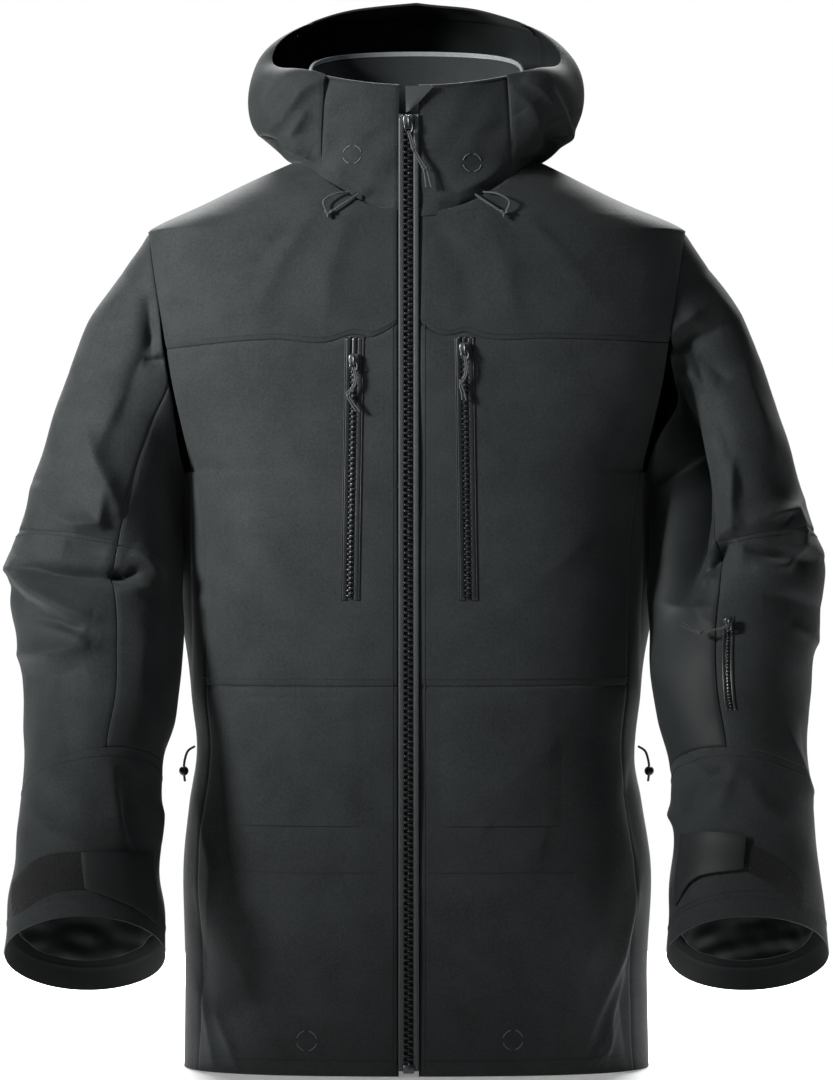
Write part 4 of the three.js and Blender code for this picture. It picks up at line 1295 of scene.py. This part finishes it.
# place across at the top; how far the slider is below the top; the pull's steps from the slider's eye
CHEST_ZIPS = {
    "right": (-56, 22, [(0, 0), (1.8, -8), (0.8, -16), (-5, -25), (-1, -33), (4, -40)]),
    "left": (43, 12, [(0, 0), (1.5, -9), (0.5, -18), (-3.5, -26), (-1.5, -34), (-0.5, -40)]),
}


def chest_zip_at(top_x):
    """The place of a chest zip's points on the front: sideways step and height in, point out."""
    lean = math.copysign(CHEST_SLANT, top_x)
    return lambda step, z: on_front(top_x + lean * (CHEST_TOP - z) + step, z)[0]


def build_chest_zips():
    for name, (top_x, drop, steps) in CHEST_ZIPS.items():
        line = ZipLine(chest_zip_at(top_x), CHEST_LOW, CHEST_TOP)
        strips = [sweep(line, film(sign, 3.1, 7.6, 1.25), 90) for sign in (-1, 1)]
        edge = [(7.4, -0.5), (7.5, 0.9), (8.1, 1.1), (8.7, 0.8), (8.8, -0.5)]
        strips += [sweep(line, edge, 90), sweep(line, [(-a, b) for a, b in edge][::-1], 90)]
        strips.append(sweep(line, floor_strip(3.3, 0.0), 90))
        made = new_mesh(f"chest_zip_film_{name}", *merge(strips), POCKET_FILM)
        finish(made, "shell", f"chest_zip_{name}", "pocket_zip")
        seat_z = CHEST_TOP - drop
        rows = teeth(line, 4.7, (4.0, 1.9, 1.9), 1.15, 0.95, CHEST_LOW + 4, seat_z - 3)
        finish(new_mesh(f"chest_zip_teeth_{name}", *rows, TEETH), "shell", slot="pocket_zip")
        here, across, along, out = (value[0] for value in line.frame(np.array([float(seat_z)])))
        turn = np.stack([across, -out, along], axis=1)
        shape = moved(slider(1.0, 10, 13), here + out * 3.4, turn)
        finish(new_mesh(f"chest_slider_{name}_shaped", *shape, METAL), f"chest_slider_{name}",
               f"chest_zip_slider_{name}", "coated_metal")
        eye = here + out * 6.6 - np.array([0, 0, 5.5])
        pull(f"chest_zip_pull_{name}", eye, steps, 0.85, f"chest_pull_{name}", (0.6,),
             ((0.9, 0), (-0.9, 0)))


FOREARM_LOW, FOREARM_TOP = 300, 402


def build_forearm_zip():
    def at(step, z):
        share = (z - FOREARM_LOW) / (FOREARM_TOP - FOREARM_LOW)
        return on_hoop(SIDES["left"], mix(7.35, 5.75, share), 96 - step * 0.73 + 0 * z)
    line = ZipLine(at, FOREARM_LOW, FOREARM_TOP)
    strips = [sweep(line, film(sign, 2.2, 5.2, 1.2), 50) for sign in (-1, 1)]
    strips.append(sweep(line, floor_strip(2.4, 0.1), 50))
    finish(new_mesh("forearm_zip_film", *merge(strips), POCKET_FILM), "shell", "forearm_zip", "pocket_zip")
    rows = teeth(line, 3.6, (3.0, 1.6, 1.45), 0.85, 0.8, FOREARM_LOW + 3, FOREARM_TOP - 10)
    finish(new_mesh("forearm_zip_teeth", *rows, TEETH), "shell", slot="pocket_zip")
    low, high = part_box("forearm_zip_slider")
    middle = (np.array(low) + np.array(high)) / 2 / MM - np.array([0, SHIFT_Y, 0])
    made = new_mesh("forearm_slider_shaped", *moved(slider(0.8, 7.5, 9.5), middle), METAL)
    finish(made, "forearm_slider", "forearm_zip_slider", "coated_metal")
    eye = middle + np.array([-1.5, -4.6, -3])
    steps = [(0, 0), (-6, -2.5), (-14, -4), (-23, -6), (-31, -4), (-40, 2)]
    pull("forearm_zip_pull", eye, steps, 0.85, "forearm_pull", (0.6,), ((0, 1.6), (0, -1.2)))


# ---- flaps, cuff tabs and patches ------------------------------------------------------------------------
FLAP_REACH = {-1: (38, 172), 1: (10, 142)}
FLAP_LOW, FLAP_TOP = 225, 344
FLAP_STITCH_Z = 232
# top edge and bottom edge of each cuff tab, from the sewn end: share along it, x and z in the front view
TAB_EDGES = {
    -1: ([(0, 236, 201.4), (0.5, 262, 203.5), (1, 299, 204)],
         [(0, 232, 139), (0.4, 250, 153.5), (1, 295.5, 173.3)]),
    1: ([(0, 237.5, 218.8), (0.5, 259, 222.6), (1, 294.5, 219.7)],
        [(0, 233, 155), (0.45, 250, 180), (1, 291.5, 190.7)]),
}
# the same for the loop patches, from the outer end
PATCH_EDGES = {
    -1: ([(0, 361, 177), (0.2, 348, 192), (0.6, 325, 204), (1, 292, 206)],
         [(0, 360.5, 147), (0.5, 325, 168.5), (1, 292, 174)]),
    1: ([(0, 346, 176), (0.5, 316, 203), (1, 288, 217)],
        [(0, 347, 150), (0.5, 312, 178.5), (1, 287, 191)]),
}


def between(edges, side, lift):
    """A patch of a sleeve's front between a top and a bottom edge given in the front view."""
    top, bottom = (reader(rows) for rows in edges[side])

    def surface(u, v):
        x = mix(bottom(u, 1), top(u, 1), v)
        z = mix(bottom(u, 2), top(u, 2), v)
        points, normals = on_sleeve(side, x, z, mix(*lift, ramp(0, 0.6, u)))
        return points, points - normals * INWARD
    return surface


def build_flaps_and_tabs():
    for name, side in SIDES.items():
        def flap(u, v, s=side):
            x = s * mix(*FLAP_REACH[s], u)
            z = mix(FLAP_LOW, FLAP_TOP, v) + 3.5 * (1 - v) * (1 - np.clip(u * 12, 0, 1))
            hem = 0.5 * np.exp(-((z - FLAP_STITCH_Z) / 1.2) ** 2)
            proud = ramp(0, 0.2, np.minimum(u, 1 - u)) * ramp(0, 0.06, 1 - v)
            points, normals = on_front(x, z, mix(-0.5, 0.8 - hem, proud))
            return points, points - normals * INWARD
        cloth(f"hand_pocket_flap_{name}_cloth", flap, 60, 50, f"pocket_flap_{name}",
              stands_for=f"hand_pocket_flap_{name}")
        cloth(f"loop_patch_{name}_pile", between(PATCH_EDGES, side, (1.6, 1.6)), 40, 20,
              "shell", LOOP, LOOP, edges=dict.fromkeys(ALL_ROUND, 0.7), thick=1.6,
              ripples=Ripples(5, 3.2), ripple_mm=0.22,
              stands_for=f"loop_patch_{name}", slot="loop_fabric", held=None)
        cloth(f"cuff_tab_{name}_laminate", between(TAB_EDGES, side, (2.7, 5.6)), 40, 24,
              f"cuff_tab_{name}", TAB, TAB, edges=dict.fromkeys(ALL_ROUND, 0.5), thick=2.3,
              stands_for=f"cuff_tab_{name}", slot="tab_laminate", held=None)


# ---- inside ----------------------------------------------------------------------------------------------
SKIRT_LOW, SKIRT_TOP = 120, 300
SKIRT_INSETS = (24, 16)            # how far inside the shell its lower and its upper edge hang
SKIRT_ROUND = (-70, 250)           # directions it runs between, open at the front
STORM_LOW, STORM_TOP = 13, 866
LOOP_HALF, LOOP_TOP_Y, LOOP_TOP_Z = 26, 67, 842


def build_inside():
    def skirt(u, v):
        angle = np.radians(mix(*SKIRT_ROUND, u))
        z = mix(SKIRT_LOW, SKIRT_TOP, v)
        inset = mix(*SKIRT_INSETS, v)
        depth = np.where(np.sin(angle) < 0, front_depth(z), torso(z, 2))
        points = np.stack([(torso(z, 1) - inset) * np.cos(angle), (depth - inset) * np.sin(angle), z], -1)
        return points, np.stack([0 * z, 0 * z, z], -1)
    cloth("powder_skirt_cloth", skirt, 160, 40, "shell", LINING, ripples=Ripples(61, 40, grain=(1, 1, 0.2)),
          ripple_mm=1.6, stands_for="powder_skirt", slot="lining")

    def storm_flap(u, v):
        z = mix(STORM_LOW, STORM_TOP, v)
        points = np.stack([mix(ZIP_X - 16, ZIP_X + 20, u), zip_line_y(z) + 3.6, z], -1)
        return points, points + np.array([0, INWARD, 0])
    cloth("storm_flap_cloth", storm_flap, 8, 60, "shell", LINING, stands_for="storm_flap", slot="lining")
    arch = []
    for share in (-1, -0.6, 0, 0.6, 1):
        sag = 1 - share * share
        arch.append((share * LOOP_HALF, LOOP_TOP_Y - 3.6 * sag, LOOP_TOP_Z - 4.5 * sag))
    arch = through(arch, 30)

    def strap(u, v):
        share = v * (len(arch) - 1)
        low = np.clip(np.floor(share).astype(int), 0, len(arch) - 2)
        points = mix(arch[low], arch[low + 1], (share - low)[..., None])
        points = points + np.stack([0 * u, 0 * u, mix(-3, 3, u)], -1)
        return points, points + np.array([0, INWARD, 0])
    cloth("hanger_loop_strap", strap, 6, 40, "shell", LINING, thick=1.2, stands_for="hanger_loop",
          slot="lining", held=None)


# ---- shock cords -----------------------------------------------------------------------------------------
HOOD_CORD = [(60, -99, 798), (74, -103, 796), (84, -105, 789),
             (80, -105, 780), (68, -104, 786), (53, -101, 796)]
WAIST_CORD = [(203, -24, 294), (209, -26, 290), (212, -27, 282), (213, -27, 272), (212, -26, 262)]


HOOD_CORD_POINTS, HOOD_KNOT_POINT = 70, 38         # points along a hood cord, and the one its knot is on
WAIST_CORD_POINTS, WAIST_BEAD_POINT = 50, 36
BEAD_HALF_HEIGHT, BEAD_RADIUS = 4.4, 4.1


def build_shock_cords():
    for name, side in SIDES.items():
        line = through([(side * x, y - 5, z) for x, y, z in HOOD_CORD], HOOD_CORD_POINTS)
        made = cord_curve(f"hood_cord_{name}_loop", line, 1.0, "shell")
        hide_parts(f"hood_cord_{name}")
        knot_middle = line[HOOD_KNOT_POINT] + np.array([0, -0.5, -1.0])
        tie = knot(f"hood_cord_{name}_knot", knot_middle, 4.4, 1.1, "shell")
        place(line[0]).tolist()
        run_length(line) * MM
        line = through([(side * x, y - 5, z) for x, y, z in WAIST_CORD], WAIST_CORD_POINTS)
        made = cord_curve(f"waist_cord_{name}_strand", line, 1.1, "shell")
        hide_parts(f"waist_cord_{name}")
        angle = np.linspace(0, math.pi, 14)
        heights = -BEAD_HALF_HEIGHT * np.cos(angle)
        bead_line = np.stack([0 * angle, 0 * angle, heights], -1) + line[WAIST_BEAD_POINT]
        shape = tube(bead_line, 0.25 + BEAD_RADIUS * np.sin(angle), 20)
        bead = new_mesh(f"waist_bead_{name}_shaped", *shape, BEAD)
        finish(bead, "shell", f"waist_bead_{name}", "moulded_bead")
        place(line[0]).tolist()
        run_length(line) * MM


# ---- camera, light and floor -------------------------------------------------------------------------
FLOOR_RADIUS = 1500
FLOOR_DROP = 0.6           # how far the floor lies under the hem
AMBIENT = 0.022            # strength of the light that comes from all round


def build_camera():
    data = bpy.data.cameras.new("camera")
    data.sensor_width = SENSOR_MM
    data.lens = SENSOR_MM * CAMERA_DISTANCE / FRAME_HEIGHT
    data.clip_end = 60
    camera = bpy.data.objects.new("camera", data)
    bpy.context.scene.collection.objects.link(camera)
    eye = Vector(place([0, -CAMERA_DISTANCE, CAMERA_HEIGHT]))
    aim = Vector(place([0, 0, AIM_HEIGHT]))
    camera.location = eye
    camera.rotation_euler = (aim - eye).to_track_quat("-Z", "Y").to_euler()
    bpy.context.scene.camera = camera


def area_light(name, position, target, size, watts, colour, spread):
    data = bpy.data.lights.new(name, "AREA")
    data.spread = math.radians(spread)
    data.shape = "RECTANGLE"
    data.size, data.size_y = size
    data.energy = watts
    data.color = colour
    light = bpy.data.objects.new(name, data)
    bpy.context.scene.collection.objects.link(light)
    light.location = position
    light.rotation_euler = (Vector(target) - Vector(position)).to_track_quat("-Z", "Y").to_euler()


def build_studio():
    warm, cool = (1.0, 0.995, 0.985), (0.96, 0.98, 1.0)
    area_light("key_light", (-2.25, -1.45, 1.45), (-0.24, 0, 0.7), (0.5, 0.5), 4.2, warm, 28)
    area_light("front_light", (-0.3, -3.4, 1.9), (-0.05, 0, 0.85), (0.8, 0.8), 0.2, cool, 36)
    area_light("hood_light", (0.25, -0.5, 2.3), (0.02, 0, 0.98), (0.5, 0.5), 0.2, cool, 25)
    area_light("floor_light", (0, 2.3, 2.4), (0, 0.7, 0), (2.0, 1.0), 80, (1, 1, 1), 70)
    world = bpy.data.worlds.new("studio")
    world.use_nodes = True
    tree = world.node_tree
    backdrop = tree.nodes["Background"]
    backdrop.inputs["Color"].default_value = (1, 1, 1, 1)
    ambient = tree.nodes.new("ShaderNodeBackground")
    ambient.inputs["Color"].default_value = (0.93, 0.97, 1.0, 1)
    ambient.inputs["Strength"].default_value = AMBIENT
    path = tree.nodes.new("ShaderNodeLightPath")
    choice = tree.nodes.new("ShaderNodeMixShader")
    tree.links.new(path.outputs["Is Camera Ray"], choice.inputs[0])
    tree.links.new(ambient.outputs[0], choice.inputs[1])
    tree.links.new(backdrop.outputs[0], choice.inputs[2])
    tree.links.new(choice.outputs[0], tree.nodes["World Output"].inputs["Surface"])
    bpy.context.scene.world = world
    bpy.context.scene.view_settings.view_transform = "Standard"
    angle = np.linspace(0, 2 * math.pi, 96, endpoint=False)
    rim = np.stack([FLOOR_RADIUS * np.cos(angle), FLOOR_RADIUS * np.sin(angle), 0 * angle - FLOOR_DROP], -1)
    new_mesh("floor", rim, [range(len(rim))], floor_material(), smooth=False)


def floor_material():
    shader = Shader("pale_floor")
    tone = shader.noise(400, detail=2.0)
    shader.join(shader.blend_colours(tone, (0.8, 0.8, 0.8, 1), (0.86, 0.86, 0.86, 1)),
                shader.surface.inputs["Base Color"])
    shader.set(Roughness=0.7, Emission_Color=(1, 1, 1, 1), Emission_Strength=0.2)
    return shader.material


# ---- the CAD nodes that stay get their finish ---------------------------------------------------------
def dress_cad_nodes():
    finishes = {
        "zip_tape": ZIP_FILM, "pocket_zip": POCKET_FILM, "coated_metal": METAL, "cord": CORD,
        "moulded_bead": BEAD, "lining": LINING, "loop_fabric": LOOP, "tab_laminate": TAB,
        "shell_cloth": SHELL, "seam_tape": SEAM_TAPE,
    }
    for row in frame["record"]["subparts"]:
        data = frame["nodes"][row["node"]].data
        for index in range(len(data.materials)):
            data.materials[index] = finishes[row["material_slot"]]


build_camera()
build_studio()
dress_cad_nodes()
build_torso()
build_sleeves()
build_collar()
build_hood()
build_main_zip()
build_chest_zips()
build_forearm_zip()
build_flaps_and_tabs()
build_inside()
build_shock_cords()
front_stitches()
sleeve_stitches()
ring_marks()
